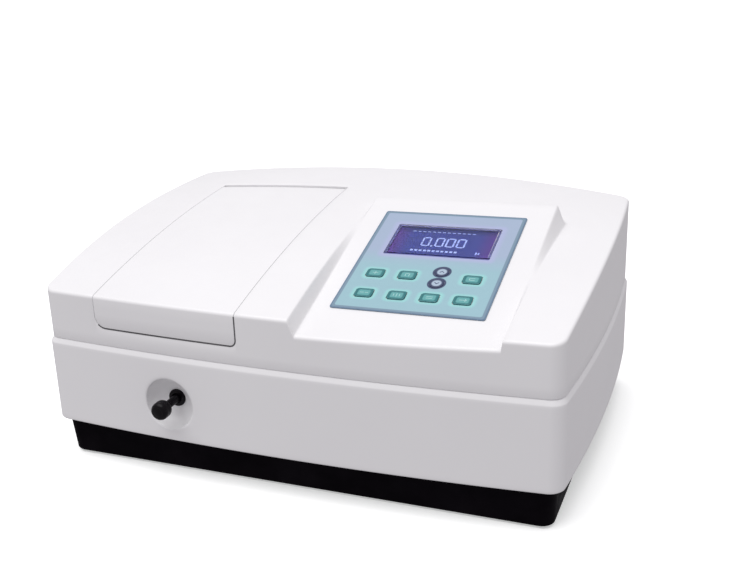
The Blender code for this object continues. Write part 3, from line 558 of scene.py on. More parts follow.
def drift(x, y):
    # the console's edges run slightly out of square towards the back
    share = min((y - form["deck"]) / console["length"], 1.04)
    stops = ((-0.030, 0.0), (console["leftFoot"], -0.004 * share),
             (console["left"], -0.005 * share), (console["right"], 0.0),
             (console["rightFoot"], -0.0065 + 0.0075 * share), (0.214, 0.0))
    for (a, moveA), (b, moveB) in zip(stops, stops[1:]):
        if a <= x <= b:
            return moveA + (moveB - moveA) * (x - a) / (b - a)
    return 0.0


def climb(line, foot, head):
    # 0 outside the console's foot line, 1 inside its upper line
    low, high = console[foot], console[head]
    return roundedRamp(min(max((line - low) / (high - low), 0), 1))


def topPoint(xLine, yLine):
    x, y, inset = cornerRounded(xLine, yLine)
    x, y = bulged(x + drift(xLine, y), y)
    weight = climb(xLine, "leftFoot", "left")
    weight *= climb(xLine, "rightFoot", "right")
    weight *= climb(yLine, "backFoot", "back")
    height = crown(x, y) * (1 - weight) + panelHeight(x, y) * weight
    return shifted(x, y, height - edgeDrop(inset))


def lipRise(x):
    # how far the lid opening's lower edge climbs at its two rounded corners
    for side, corner in zip((x - lidForm["left"], lidForm["right"] - x), lidForm["corners"]):
        radius = corner + lidForm["gap"]
        side = side + lidForm["gap"]
        if side < radius:
            return radius - math.sqrt(max(radius ** 2 - (radius - max(side, 0)) ** 2, 0))
    return 0.0


def dropRim(piece, height):
    # extrudes the open rim and sets the new points' heights
    takeUp(piece)
    bpy.context.tool_settings.mesh_select_mode = (False, True, False)
    bpy.ops.object.mode_set(mode="EDIT")
    bpy.ops.mesh.select_all(action="DESELECT")
    bpy.ops.mesh.select_non_manifold()
    bpy.ops.mesh.extrude_region_move()
    bpy.ops.object.mode_set(mode="OBJECT")
    for point in piece.data.vertices:
        if point.select:
            point.co.z = height(point.co)


def makeUpperHousing():
    gap = lidForm["gap"]
    left, right = lidForm["left"] - gap, lidForm["right"] + gap
    cornerL, cornerR = (corner + gap for corner in lidForm["corners"])
    arcL = [left + cornerL * (1 - math.cos(turn)) for turn in quarter(6)]
    arcR = [right - cornerR * (1 - math.cos(turn)) for turn in reversed(quarter(6))]
    (u0, s0), (u1, s1) = console["window"]
    run = math.hypot(1, console["slope"])
    yWindow = [console["origin"][1] + s / run for s in (s0, s1)]
    xStops = sorted(arcL + arcR + between(console["leftFoot"], console["left"]) + [u0, u1]
                    + between(console["right"], console["rightFoot"]))
    yStops = sorted(yWindow + between(console["back"], console["backFoot"])
                    + [lidForm["hingeY"] + lidForm["clearance"]])
    xLines = planLines(-form["halfWidth"], form["halfWidth"], xStops, form["spacing"])
    yLines = planLines(form["frontY"], form["backY"], yStops, form["spacing"])
    shell = gridPiece("upper_housing_shell", xLines, yLines, topPoint)
    lipZ = lidForm["lip"] - gap
    edge, upper, lower = form["rimDrops"]
    dropRim(shell, lambda at: at.z - edge)
    dropRim(shell, lambda at: (lipZ + lipRise(at.x)
                               if at.y < 0 and left - 1e-5 < at.x < right + 1e-5 else upper))
    dropRim(shell, lambda at: lower)
    dropRim(shell, lambda at: form["seam"] + form["seamGap"])
    back = lidForm["hingeY"] + lidForm["clearance"] + form["shiftY"]
    pick(shell, "FACE", lambda at, n: left < at.x < right and at.y < back
         and at.z > lipZ + lipRise(at.x))
    bpy.ops.mesh.delete(type="FACE")
    pick(shell, "FACE", lambda at, n: u0 < at.x < u1
         and yWindow[0] < at.y - form["shiftY"] < yWindow[1])
    bpy.ops.mesh.delete(type="FACE")
    editAll(shell)
    bpy.ops.mesh.normals_make_consistent(inside=False)
    faceTowards(shell, (0, 0, 1))
    wallIn(shell, form["wall"])
    softEdges(shell, 0.0004, 2, 60)
    smooth(shell, 40)
    return dress(shell, finishes["white"], "housing", "white_moulding", "upper_housing")


def frontFace(x, outset):
    return frontLine(x) * (1 + outset / form["halfDepth"])


def outlineWalk(frontStops, backStops):
    # crossings round the plan, counter-clockwise from the front left, ending where it starts
    half, front, back = form["halfWidth"], form["frontY"], form["backY"]
    xFront = planLines(-half, half, frontStops, 0.009)
    xBack = planLines(-half, half, backStops, 0.009)
    ySide = planLines(front, back, [], 0.012)
    walk = [(x, front) for x in xFront] + [(half, y) for y in ySide[1:]]
    walk += [(x, back) for x in reversed(xBack[:-1])] + [(-half, y) for y in reversed(ySide[:-1])]
    return walk


def outlinePoint(xLine, yLine, outset, bulge=1.0):
    x, y, _ = cornerRounded(xLine, yLine)
    outX, outY = bulged(x, y)
    x, y = x + bulge * (outX - x), y + bulge * (outY - y)
    reach = form["halfWidth"] + form["sideBulge"]
    return x * (1 + outset / reach), y * (1 + outset / form["halfDepth"])


dish = {"x": -0.107, "z": 0.072, "radius": 0.0235, "floorY": -0.1500, "flat": 0.0100,
        "bore": 0.0063, "reach": 0.0325, "lip": 0.0016}


def dishDepth(radius, wallY):
    # a bowl with a flat round floor, a steep side and a small soft rim
    deep = dish["floorY"] - wallY
    if radius <= dish["flat"]:
        return deep
    share = (radius - dish["flat"]) / (dish["radius"] - dish["flat"])
    soft = 0.0006 * max(0.0, 1 - max(radius - dish["radius"], 0) / dish["lip"]) ** 2
    return soft + max(deep - 0.0006, 0) * (max(1 - share ** 2, 0) ** 0.5 if share < 1 else 0.0)


def turnInWindow(shell, window):
    # the window's edge turns in to meet the rear panel
    low, high = window["low"] - 1e-4, window["high"] + 1e-4
    pick(shell, "EDGE", lambda at, way: False)
    bpy.ops.mesh.select_non_manifold(extend=False)
    bpy.ops.object.mode_set(mode="OBJECT")
    rim = [e.index for e in shell.data.edges if e.select
           and all(shell.data.vertices[i].co.y > 0.15 and low < shell.data.vertices[i].co.z < high
                   for i in e.vertices)]
    pick(shell, "EDGE", lambda at, way: False)
    bpy.ops.object.mode_set(mode="OBJECT")
    for index in rim:
        shell.data.edges[index].select = True
    bpy.ops.object.mode_set(mode="EDIT")
    bpy.ops.mesh.extrude_region_move()
    bpy.ops.object.mode_set(mode="OBJECT")
    for point in shell.data.vertices:
        if point.select:
            point.co.y = window["flangeY"] + form["shiftY"]


def makeLowerHousing():
    out, seam, base = 0.0018, form["seam"], 0.0370
    window = {"half": 0.150, "low": 0.047, "high": 0.110, "flangeY": 0.1596}
    rings = [0.0, 0.0021, 0.0042, dish["bore"], 0.0082, dish["flat"], 0.0120, 0.0142, 0.0164,
             0.0184, 0.0200, 0.0213, 0.0223, 0.0230, 0.0234, dish["radius"], 0.0238, 0.0243, 0.0251,
             0.0270, 0.0295, dish["reach"]]
    around = sorted(set([-r for r in rings] + rings))
    bottom = [(out * math.sin(turn), base + 0.0022 * (1 - math.cos(turn))) for turn in quarter(5)]
    # a small ledge slopes in under the seam
    top = [(out, seam - 0.0052), (out - 0.0001, seam - 0.0046), (out - 0.0003, seam - 0.0041)]
    top += [(out - 0.0018, seam - 0.0012), (out - 0.0021, seam - 0.0006),
            (out - 0.0026, seam - 0.0001), (out - 0.0034, seam)]
    heights = sorted([dish["z"] + r for r in around] + [window["low"], window["high"]])
    lowest, highest = bottom[-1][1] + 0.0003, top[0][1] - 0.0003
    rows = bottom + [(out, z) for z in heights if lowest < z < highest] + top
    walk = outlineWalk([dish["x"] + r for r in around], [-window["half"], window["half"]])

    def place(step, row):
        (xLine, yLine), (outset, z) = walk[step], rows[row]
        x, y = outlinePoint(xLine, yLine, outset)
        u, v = (xLine - dish["x"]) / dish["reach"], (z - dish["z"]) / dish["reach"]
        size = max(abs(u), abs(v))
        if yLine == form["frontY"] and 0 < size < 1:
            # square rings of the grid become round ones, and ease back to square outside the dish
            ease = 1 - smoothStep(size, 0.80, 1.0)
            pull = 1 + ease * (size / math.hypot(u, v) - 1)
            x, z = dish["x"] + u * pull * dish["reach"], dish["z"] + v * pull * dish["reach"]
            y = frontFace(x, outset)
            y += dishDepth(math.hypot(x - dish["x"], z - dish["z"]), y)
        elif yLine == form["frontY"] and size == 0:
            y = dish["floorY"]
        return shifted(x, y, z)

    shell = gridPiece("lower_housing_shell", range(len(walk)), range(len(rows)), place)
    mergePoints(shell)
    bore = dish["bore"] - 0.0002
    pick(shell, "FACE", lambda at, n: at.y < -0.12
         and math.hypot(at.x - dish["x"], at.z - dish["z"]) < bore)
    bpy.ops.mesh.delete(type="FACE")
    pick(shell, "FACE", lambda at, n: at.y > 0.15 and abs(at.x) < window["half"]
         and window["low"] < at.z < window["high"])
    bpy.ops.mesh.delete(type="FACE")
    editAll(shell)
    bpy.ops.mesh.normals_make_consistent(inside=False)
    deselectAll()
    widest = max(shell.data.polygons, key=lambda face: face.center.x)
    if widest.normal.x < 0:
        editAll(shell)
        bpy.ops.mesh.flip_normals()
    turnInWindow(shell, window)
    wallIn(shell, 0.0020)
    softEdges(shell, 0.0005, 2, 60)
    smooth(shell, 32)
    return dress(shell, finishes["white"], "housing", "white_moulding", "lower_housing")


def makeBaseTray():
    # an open pan whose wall leans in to the bench, under the housing's rim
    tray = {"bottom": 0.0020, "top": 0.0373, "foot": -0.0060, "head": -0.0035, "rim": -0.0022,
            "round": 0.0022, "ledge": 0.0400, "floor": 0.0045, "sheet": 0.0025}
    foot, head, rim, r = tray["foot"], tray["head"], tray["rim"], tray["round"]
    rows = [(foot - r * (1 - math.sin(turn)), tray["bottom"] + r * (1 - math.cos(turn)))
            for turn in quarter(5)]
    lean = (head - foot) / (tray["top"] - tray["bottom"])
    rows = [(outset + lean * (z - tray["bottom"]), z) for outset, z in rows]
    rows = [(outset, z, 0) for outset, z in rows + [(head, tray["top"])]]
    rows += [(rim, tray["top"], 1), (rim, tray["ledge"], 1),
             (head - tray["sheet"], tray["ledge"], 0), (foot - tray["sheet"], tray["floor"], 0)]
    walk = outlineWalk([], [])

    def place(step, row):
        outset, z, bulge = rows[row]
        return shifted(*outlinePoint(*walk[step], outset, bulge), z)

    shell = gridPiece("base_tray_shell", range(len(walk)), range(len(rows)), place)
    mergePoints(shell)
    closeEnds(shell)
    softEdges(shell, 0.0004, 2, 60)
    smooth(shell, 32)
    return dress(shell, finishes["black"], "housing", "black_moulding", "base_tray")


def hingeHeight(x):
    left, right, y = lidForm["left"], lidForm["right"], lidForm["hingeY"]
    share = (x - left) / (right - left)
    return crown(left, y) + share * (crown(right, y) - crown(left, y)) - lidForm["hingeDepth"]


def lidLine(x):
    # the lid's outside at one x, from its front lip to its rolled back edge
    y, rise = frontLine(x), 0.0
    for side, corner in zip((x - lidForm["left"], lidForm["right"] - x), lidForm["corners"]):
        if side < corner:
            rise = corner - math.sqrt(max(corner ** 2 - (corner - side) ** 2, 0))
    line = [(y, lidForm["lip"] + rise)] + [(y, z) for z in lidForm["frontRows"]]
    line += [(y + inset, crown(x, y + inset) - edgeDrop(inset)) for inset in edgeInsets]
    stops = [-0.140, -0.045, 0.051, lidForm["hingeY"] - 0.006]
    line += [(at, crown(x, at)) for at in lines(stops, 0.008)]
    reach = crown(x, lidForm["hingeY"]) - hingeHeight(x)
    for degrees in range(90, -40, -9):
        turn = math.radians(degrees)
        line.append((lidForm["hingeY"] + reach * math.cos(turn),
                     hingeHeight(x) + reach * math.sin(turn)))
    return line


def makeLid():
    left, right = lidForm["left"], lidForm["right"]
    cornerL, cornerR = lidForm["corners"]
    starts = [left + cornerL * (1 - math.cos(turn)) for turn in quarter(7)]
    ends = [right - cornerR * (1 - math.cos(turn)) for turn in reversed(quarter(7))]
    stations = starts + lines([starts[-1], ends[0]], 0.007)[1:-1] + ends
    sections = [lidLine(x) for x in stations]
    # closes the side gaps a little
    middle, spread = (left + right) / 2, 1 + 0.0004 / (right - left) * 2
    shell = gridPiece("lid_shell", range(len(stations)), range(len(sections[0])),
                      lambda i, j: shifted(middle + (stations[i] - middle) * spread,
                                           *sections[i][j]))
    faceTowards(shell, (0, -0.3, 1))
    wallIn(shell, form["wall"])
    softEdges(shell, 0.0005, 2, 60)
    smooth(shell, 40)
    return dress(shell, finishes["white"], "lid", "white_moulding", "compartment_lid")


def makeLidSeal():
    # foam strip glued inside the lid, against the compartment's rim
    seal = {"x": (-0.1715, -0.0425), "y": (-0.138, 0.066), "half": 0.0019, "deep": 0.0021,
            "corner": 0.006}
    (x0, x1), (y0, y1), r = seal["x"], seal["y"], seal["corner"]
    path = []
    for cx, cy, start in ((x1 - r, y0 + r, -90), (x1 - r, y1 - r, 0), (x0 + r, y1 - r, 90),
                          (x0 + r, y0 + r, 180)):
        for step in range(7):
            turn = math.radians(start + 15 * step)
            path.append((cx + r * math.cos(turn), cy + r * math.sin(turn)))
    dense = []
    for (ax, ay), (bx, by) in zip(path, path[1:] + path[:1]):
        count = max(1, round(math.hypot(bx - ax, by - ay) / 0.008))
        dense += [(ax + (bx - ax) * n / count, ay + (by - ay) * n / count) for n in range(count)]
    dense.append(dense[0])
    section = [(-1, 0), (-1, -0.7), (-0.6, -1), (0.6, -1), (1, -0.7), (1, 0), (-1, 0)]

    def place(step, side):
        x, y = dense[step]
        ahead, behind = dense[(step + 1) % (len(dense) - 1)], dense[(step - 1) % (len(dense) - 1)]
        way = Vector((ahead[0] - behind[0], ahead[1] - behind[1])).normalized()
        across, down = section[side]
        x, y = x + way.y * across * seal["half"], y - way.x * across * seal["half"]
        return shifted(x, y, crown(x, y) - form["wall"] - 0.0001 + down * seal["deep"])

    strip = gridPiece("lid_seal", range(len(dense)), range(len(section)), place)
    mergePoints(strip)
    smooth(strip, 40)
    return dress(strip, finishes["foam"], "lid", "rubber")


def makeLipGapShade():
    # dark strip in the gap under the lid's front lip and up its right end, shaped like a seal:
    # painted shade that darkens the gap line
    strip = {"near": 0.00006, "far": 0.00125, "front": -0.00012, "back": 0.0027, "top": 0.1605}
    left, right, lip = lidForm["left"], lidForm["right"], lidForm["lip"]
    cornerL, corner = lidForm["corners"]
    path = []
    for turn in (math.radians(45 + 7.5 * n) for n in range(6)):
        c, s = math.cos(turn), math.sin(turn)
        path.append((left + cornerL * (1 - c), lip + cornerL * (1 - s), -c, -s))
    path += [(x, lip, 0, -1) for x in lines([left + cornerL, right - corner], 0.006)]
    for turn in (math.radians(15 * n) for n in range(1, 7)):
        c, s = math.cos(turn), math.sin(turn)
        path.append((right - corner + corner * s, lip + corner * (1 - c), s, -c))
    path += [(right, z, 1, 0) for z in lines([lip + corner, strip["top"]], 0.003)[1:]]
    section = [("near", "front"), ("far", "front"), ("far", "back"), ("near", "back"),
               ("near", "front")]

    def place(step, side):
        x, z, outX, outZ = path[step]
        away, deep = (strip[key] for key in section[side])
        return shifted(x + outX * away, frontLine(x) + deep, z + outZ * away)

    piece = gridPiece("lip_gasket", range(len(path)), range(len(section)), place)
    mergePoints(piece)
    closeEnds(piece)
    smooth(piece, 40)
    return dress(piece, finishes["gap_shade"], "housing", "rubber")


makeUpperHousing()
makeLowerHousing()
makeBaseTray()
makeLid()
makeLidSeal()
makeLipGapShade()
print("housings, tray and lid made")


def refined(node, finish, body, slotName, round):
    # a merged copy of the fixed piece, with its edges broken
    piece = bpy.data.objects.new(node + "_form", bpy.data.objects[node].data.copy())
    bpy.context.scene.collection.objects.link(piece)
    named(piece, node + "_form")
    editAll(piece)
    bpy.ops.mesh.remove_doubles(threshold=0.000002)
    bpy.ops.mesh.dissolve_limited(angle_limit=math.radians(0.6), delimit={"NORMAL"})
    deselectAll()
    softEdges(piece, round)
    smooth(piece, 32)
    return dress(piece, finish, body, slotName, node)


slotOf = {
    "black": "black_moulding", "knob": "black_moulding", "paint": "matt_black_paint",
    "anodised": "black_anodised", "steel": "steel", "plated": "steel",
    "cast": "cast_aluminium", "sheet": "grey_sheet_metal", "glass": "clear_glass",
}
keptForms = {
    "housing": {
        "rear_panel": ("sheet", 0.0002), "fan_frame": ("black", 0.0005),
        "fan_guard": ("sheet", 0.0003), "power_inlet": ("black", 0.0004),
        "switch_bezel": ("black", 0.0004), "data_port": ("plated", 0.0003),
        "fuse_holder": ("black", 0.0003), "sample_compartment": ("paint", 0.0005),
        "compartment_sill": ("black", 0.0004), "guide_rail_left": ("steel", 0.0003),
        "guide_rail_right": ("steel", 0.0003), "rail_bracket": ("plated", 0.0003),
        "hinge_bracket_left": ("anodised", 0.0004),
        "hinge_bracket_right": ("anodised", 0.0004), "lid_hinge_rod": ("steel", 0.0003),
        "exit_lens": ("glass", 0.0002), "detector_housing": ("anodised", 0.0006),
        "monochromator_housing": ("cast", 0.0008), "monochromator_cover": ("cast", 0.0005),
        "optical_bench": ("cast", 0.0008), "lamp_bracket": ("cast", 0.0004),
    },
    "changer": {"cuvette_carriage": ("anodised", 0.0004), "changer_rod": ("knob", 0.0003)},
    "rocker": {"power_rocker": ("black", 0.0004)},
    "fan": {"fan_rotor": ("black", 0.0003)},
}
for body, forms in keptForms.items():
    for node, (look, round) in forms.items():
        refined(node, finishes[look], body, slotOf[look], round)

fixedFinishes = {
    "compartment_stand": "sheet", "detector_cell": "glass", "grating_turntable": "anodised",
    "diffraction_grating": "grating", "grating_motor": "black", "collimating_mirror": "mirror",
    "halogen_lamp": "glass", "deuterium_lamp": "glass", "source_mirror": "mirror",
    "mirror_motor": "black", "power_supply": "sheet", "main_board": "board", "lcd_module": "board",
    "display_window": "film",
}
for node, look in fixedFinishes.items():
    materials = bpy.data.objects[node].data.materials
    materials.clear()
    materials.append(finishes[look])
print("fixed pieces finished")


def makeKnob():
    knob = {"x": -0.107, "z": 0.072, "tip": -0.184, "profile": [
        (0.0, 0.0004), (0.0030, 0.0003), (0.0042, -0.0002), (0.0050, -0.0001), (0.0062, -0.0006),
        (0.0072, -0.0016), (0.0078, -0.0029), (0.0080, -0.0044), (0.0080, -0.0060),
        (0.0079, -0.0064), (0.0080, -0.0068), (0.0080, -0.0092), (0.0077, -0.0105),
        (0.0069, -0.0119), (0.0058, -0.0129), (0.0048, -0.0137), (0.0, -0.0137)]}
    profile = [(radius, height - 0.0004) for radius, height in knob["profile"]]
    at = shifted(knob["x"], knob["tip"], knob["z"])
    piece = turnedPiece("pull_knob", profile, at, (0, -1, 0), 72)
    return dress(piece, finishes["knob"], "changer", "black_moulding", "rod_knob")


def makeCollar():
    # thin flanged bush in the dish's floor, with the rod running through it
    collar = {"x": -0.107, "z": 0.072, "floor": -0.1500, "profile": [
        (0.0039, 0.0012), (0.0047, 0.0022), (0.0068, 0.0022), (0.0077, 0.0018), (0.0080, 0.0010),
        (0.0080, 0.0003), (0.0060, 0.0003), (0.0060, -0.0055), (0.0039, -0.0055), (0.0039, 0.0012)]}
    at = shifted(collar["x"], collar["floor"], collar["z"])
    piece = turnedPiece("rod_collar", collar["profile"], at, (0, -1, 0), 64)
    return dress(piece, finishes["knob"], "housing", "black_moulding", "rod_bush")


def makeFeet():
    foot = {"xs": (-0.180, 0.180), "ys": (("front", -0.115), ("rear", 0.120)), "profile": [
        (0.0, 0.0017), (0.0096, 0.0017), (0.0100, 0.0013), (0.0100, 0.0006), (0.0094, 0.0),
        (0.0072, 0.0), (0.0068, 0.0004), (0.0030, 0.0004), (0.0026, 0.0010), (0.0, 0.0010)]}
    for end, y in foot["ys"]:
        for side, x in zip(("left", "right"), foot["xs"]):
            pad = turnedPiece(f"pad_{end}_{side}", foot["profile"], shifted(x, y, 0), (0, 0, 1), 40)
            dress(pad, finishes["rubber"], "housing", "rubber", f"foot_{end}_{side}")


makeKnob()
makeCollar()
makeFeet()


panelUp = Vector((0, 1, console["slope"])).normalized()
panelOut = Vector((-console["tilt"], -console["slope"], 1)).normalized()
panelRight = panelUp.cross(panelOut)
panelOrigin = shifted(0, form["deck"], panelHeight(0, form["deck"]))
panelAxes = Matrix((panelRight, panelUp, panelOut)).transposed().to_4x4()
keypad = {
    "film": ((0.0315, 0.0360), (0.1645, 0.1875)), "window": ((0.0508, 0.1180), (0.1470, 0.1665)),
    "low": 0.0003, "high": 0.0011, "columns": (0.0545, 0.0834, 0.1118, 0.1402),
    "rows": (0.0588, 0.0880), "key": (0.0155, 0.0115), "arrowRows": (0.0960, 0.0795),
    "arrow": 0.0062, "capLow": 0.0008, "capHigh": 0.0019, "line": 0.0007,
}


def ontoPanel(piece):
    # a piece drawn flat at the console's corner, u to the right and v up the slope
    settle(piece)
    piece.data.transform(Matrix.Translation(panelOrigin) @ panelAxes)
    return piece


def plate(name, low, high, zLow, zHigh, corner, round=0.00015):
    # a flat slab with round corners, its upper edge broken
    deselectAll()
    centre = ((low[0] + high[0]) / 2, (low[1] + high[1]) / 2, (zLow + zHigh) / 2)
    bpy.ops.mesh.primitive_cube_add(size=1.0, location=centre)
    piece = named(bpy.context.object, name)
    piece.scale = (high[0] - low[0], high[1] - low[1], zHigh - zLow)
    settle(piece)
    if corner:
        pick(piece, "EDGE", lambda at, way: abs(way.z) > 0.5 * (zHigh - zLow) and abs(way.x) < 1e-6
             and abs(way.y) < 1e-6)
        bpy.ops.mesh.bevel(offset=corner, segments=8, affect="EDGES")
        deselectAll()
    if round:
        pick(piece, "EDGE", lambda at, way: at.z > zHigh - 1e-6)
        bpy.ops.mesh.bevel(offset=round, segments=2, affect="EDGES")
        deselectAll()
    return piece


def cutAway(piece, *tools):
    for tool in tools:
        applied(piece, "BOOLEAN", operation="DIFFERENCE", object=tool, solver="EXACT")
        bpy.data.objects.remove(tool, do_unlink=True)
    return piece


def boxMask(make, u, v, centre, half, corner, soft):
    # 1 inside a round-cornered rectangle, 0 outside, and how far outside a point lies
    du = make.most(abs(u - centre[0]) - (half[0] - corner), 0.0)
    dv = make.most(abs(v - centre[1]) - (half[1] - corner), 0.0)
    away = (du * du + dv * dv) ** 0.5 - corner
    return make.spread(away, -soft, soft, 1.0, 0.0), away


def panelPlace(make):
    at = make.node("ShaderNodeVectorMath", {"operation": "SUBTRACT"},
                   {0: make.place(), 1: tuple(panelOrigin)})
    return at, make.dot(at, tuple(panelRight)), make.dot(at, tuple(panelUp))


def keyCentres():
    front = [(u, keypad["rows"][0]) for u in keypad["columns"]]
    back = [(u, keypad["rows"][1]) for i, u in enumerate(keypad["columns"]) if i != 2]
    return front + back


def filmFinish():
    look = {"border": (0.200, 0.300, 0.390), "field": (0.380, 0.470, 0.620),
            "aqua": (0.330, 0.535, 0.600), "halo": (0.330, 0.700, 0.680),
            "lilac": (0.430, 0.475, 0.700), "line": (0.130, 0.210, 0.310),
            "slate": (0.040, 0.055, 0.130)}
    (u0, v0), (u1, v1) = keypad["film"]
    (a0, b0), (a1, b1) = keypad["window"]
    make = Recipe("printed film", look["field"], 0.34, Coat_Weight=0.25, Coat_Roughness=0.2)
    at, u, v = panelPlace(make)
    ink = make.noise(at, 900, 2)
    field = make.mix(make.spread(v, 0.125, 0.100), look["field"], look["aqua"])
    for centre in keyCentres():
        mask, _ = boxMask(make, u, v, centre, (0.0112, 0.0086), 0.0050, 0.0014)
        field = make.mix(mask * 0.85, field, look["halo"])
    for row in keypad["arrowRows"]:
        mask, _ = boxMask(make, u, v, (keypad["columns"][2], row), (0.0081, 0.0081), 0.0080, 0.0003)
        field = make.mix(mask, field, look["slate"])
    around, _ = boxMask(make, u, v, ((a0 + a1) / 2, (b0 + b1) / 2),
                        ((a1 - a0) / 2 + 0.0040, (b1 - b0) / 2 + 0.0040), 0.004, 0.0022)
    field = make.mix(around, field, look["lilac"])
    inside, _ = boxMask(make, u, v, ((u0 + u1) / 2, (v0 + v1) / 2),
                        ((u1 - u0) / 2 - 0.0034, (v1 - v0) / 2 - 0.0034), 0.002, 0.0003)
    rim, _ = boxMask(make, u, v, ((u0 + u1) / 2, (v0 + v1) / 2),
                     ((u1 - u0) / 2 - 0.0012, (v1 - v0) / 2 - 0.0012), 0.002, 0.0003)
    edge = make.mix(rim, look["line"], look["border"])
    make.feed("Base Color", make.mix(ink * 0.10, make.mix(inside, edge, field), look["line"]))
    make.feed("Roughness", make.spread(make.noise(at, 150, 4), 0.3, 0.7, 0.28, 0.44))
    make.bump(make.noise(at, 2600, 2, 0.6) * 0.00003, 1.0, 0.5)
    return make.material


def keyFinish(name, centre, ring, heart, half, corner):
    make = Recipe(name, ring, 0.34, Coat_Weight=0.2)
    at, u, v = panelPlace(make)
    inner, _ = boxMask(make, u, v, centre, half, corner, 0.0005)
    make.feed("Base Color", make.mix(inner, ring, heart))
    make.feed("Roughness", make.spread(make.noise(at, 220, 4), 0.3, 0.7, 0.28, 0.42))
    make.bump(make.noise(at, 2600, 2, 0.6) * 0.00003 + inner * 0.0001, 1.0, 0.5)
    return make.material


capLooks = {
    "teal": {"ring": (0.026, 0.180, 0.195), "heart": (0.125, 0.395, 0.395),
             "ink": (0.42, 0.72, 0.71)},
    "slate": {"ring": (0.035, 0.050, 0.120), "heart": (0.420, 0.520, 0.640),
              "ink": (0.05, 0.07, 0.16)},
}


def mark(name, strokes, centre, z):
    # raised generic marks: each stroke is (u, v, width, height, turn)
    bars = []
    for u, v, width, height, turn in strokes:
        bar = plate(name, (-width / 2, -height / 2), (width / 2, height / 2), z, z + 0.00012, 0, 0)
        bar.data.transform(Matrix.Translation((centre[0] + u, centre[1] + v, 0))
                           @ Matrix.Rotation(math.radians(turn), 4, "Z"))
        bars.append(bar)
    return ontoPanel(joined(name, bars))


def makeFilm():
    (u0, v0), (u1, v1) = keypad["film"]
    film = plate("keypad_film", (u0, v0), (u1, v1), keypad["low"], keypad["high"], 0.0022)
    tools = []
    (a0, b0), (a1, b1) = keypad["window"]
    tools.append(plate("tool", (a0, b0), (a1, b1), -0.002, 0.004, 0.0015, 0))
    width, height = (side / 2 + 0.0006 for side in keypad["key"])
    for u, v in keyCentres():
        tools.append(plate("tool", (u - width, v - height), (u + width, v + height), -0.002, 0.004,
                           0.0030, 0))
    for v in keypad["arrowRows"]:
        u = keypad["columns"][2]
        tools.append(rodPiece("tool", keypad["arrow"] + 0.0003, (u, v, -0.002), (u, v, 0.004), 48))
    cutAway(film, *tools)
    ontoPanel(film)
    dress(film, filmFinish(), "housing", "overlay_blue", "membrane_overlay")


def makeKeys():
    look, line = capLooks["teal"], keypad["line"]
    marks = (
        [(-0.0020, 0, 0.0036, line, 0), (0.0022, 0, 0.0030, line, 0)],
        [(-0.0026, 0, line, 0.0030, 0), (0, 0, line, 0.0044, 0), (0.0026, 0, line, 0.0030, 0)],
        [(0, 0.0011, 0.0056, line, 0), (0, -0.0011, 0.0056, line, 0)],
        [(0, 0, 0.0062, line, 0), (0.0024, 0.0008, 0.0022, line, -45),
         (0.0024, -0.0008, 0.0022, line, 45)],
        [(0, 0, 0.0050, line, 0), (0, 0, line, 0.0040, 0)],
        [(-0.0016, 0, line, 0.0040, 0), (0.0016, 0, line, 0.0040, 0), (0, 0.0017, 0.0032, line, 0)],
        [(0, 0.0013, 0.0050, line, 0), (0, -0.0013, 0.0050, line, 0),
         (-0.0022, 0, line, 0.0030, 0)],
    )
    for n, (centre, strokes) in enumerate(zip(keyCentres(), marks)):
        name, (u, v), (width, height) = f"key_{n + 1}", centre, keypad["key"]
        half = (width / 2, height / 2)
        cap = plate(f"{name}_top", (u - half[0], v - half[1]), (u + half[0], v + half[1]),
                    keypad["capLow"], keypad["capHigh"] - 0.00015, 0.0026, 0.0003)
        # a raised rim round a shallow well
        pick(cap, "FACE", lambda at, n: n.z > 0.99)
        bpy.ops.mesh.inset(thickness=0.0012)
        bpy.ops.mesh.inset(thickness=0.0003)
        bpy.ops.transform.translate(value=(0, 0, -0.0002))
        deselectAll()
        smooth(ontoPanel(cap), 30)
        finish = keyFinish(f"teal cap {n + 1}", centre, look["ring"], look["heart"],
                           (half[0] - 0.0024, half[1] - 0.0022), 0.0016)
        dress(cap, finish, f"{name}_cap", "key_green", name)
        legend = mark(f"{name}_mark", strokes, centre, keypad["capHigh"] - 0.00036)
        dress(legend, finishes["teal print"], f"{name}_cap", "key_green")


def makeArrows():
    look, line = capLooks["slate"], keypad["line"]
    for name, v, way in (("key_up", keypad["arrowRows"][0], 1),
                         ("key_down", keypad["arrowRows"][1], -1)):
        u, r = keypad["columns"][2], keypad["arrow"]
        profile = [(0, 0.0014), (r - 0.0019, 0.0014), (r - 0.0016, 0.0017), (r - 0.0006, 0.00175),
                   (r - 0.0002, 0.0016), (r, 0.0013), (r, keypad["capLow"]), (0, keypad["capLow"])]
        cap = ontoPanel(turnedPiece(f"{name}_top", profile, Vector((u, v, 0)), (0, 0, 1), 48))
        finish = keyFinish(f"slate cap {name[4:]}", (u, v), look["ring"], look["heart"],
                           (r - 0.0020, r - 0.0020), r - 0.0021)
        dress(cap, finish, f"{name}_cap", "key_dark", name)
        chevron = [(-0.0009, 0, 0.0028, line, 45 * way), (0.0009, 0, 0.0028, line, -45 * way)]
        legend = mark(f"{name}_mark", chevron, (u, v), 0.00138)
        dress(legend, finishes["slate print"], f"{name}_cap", "key_dark")


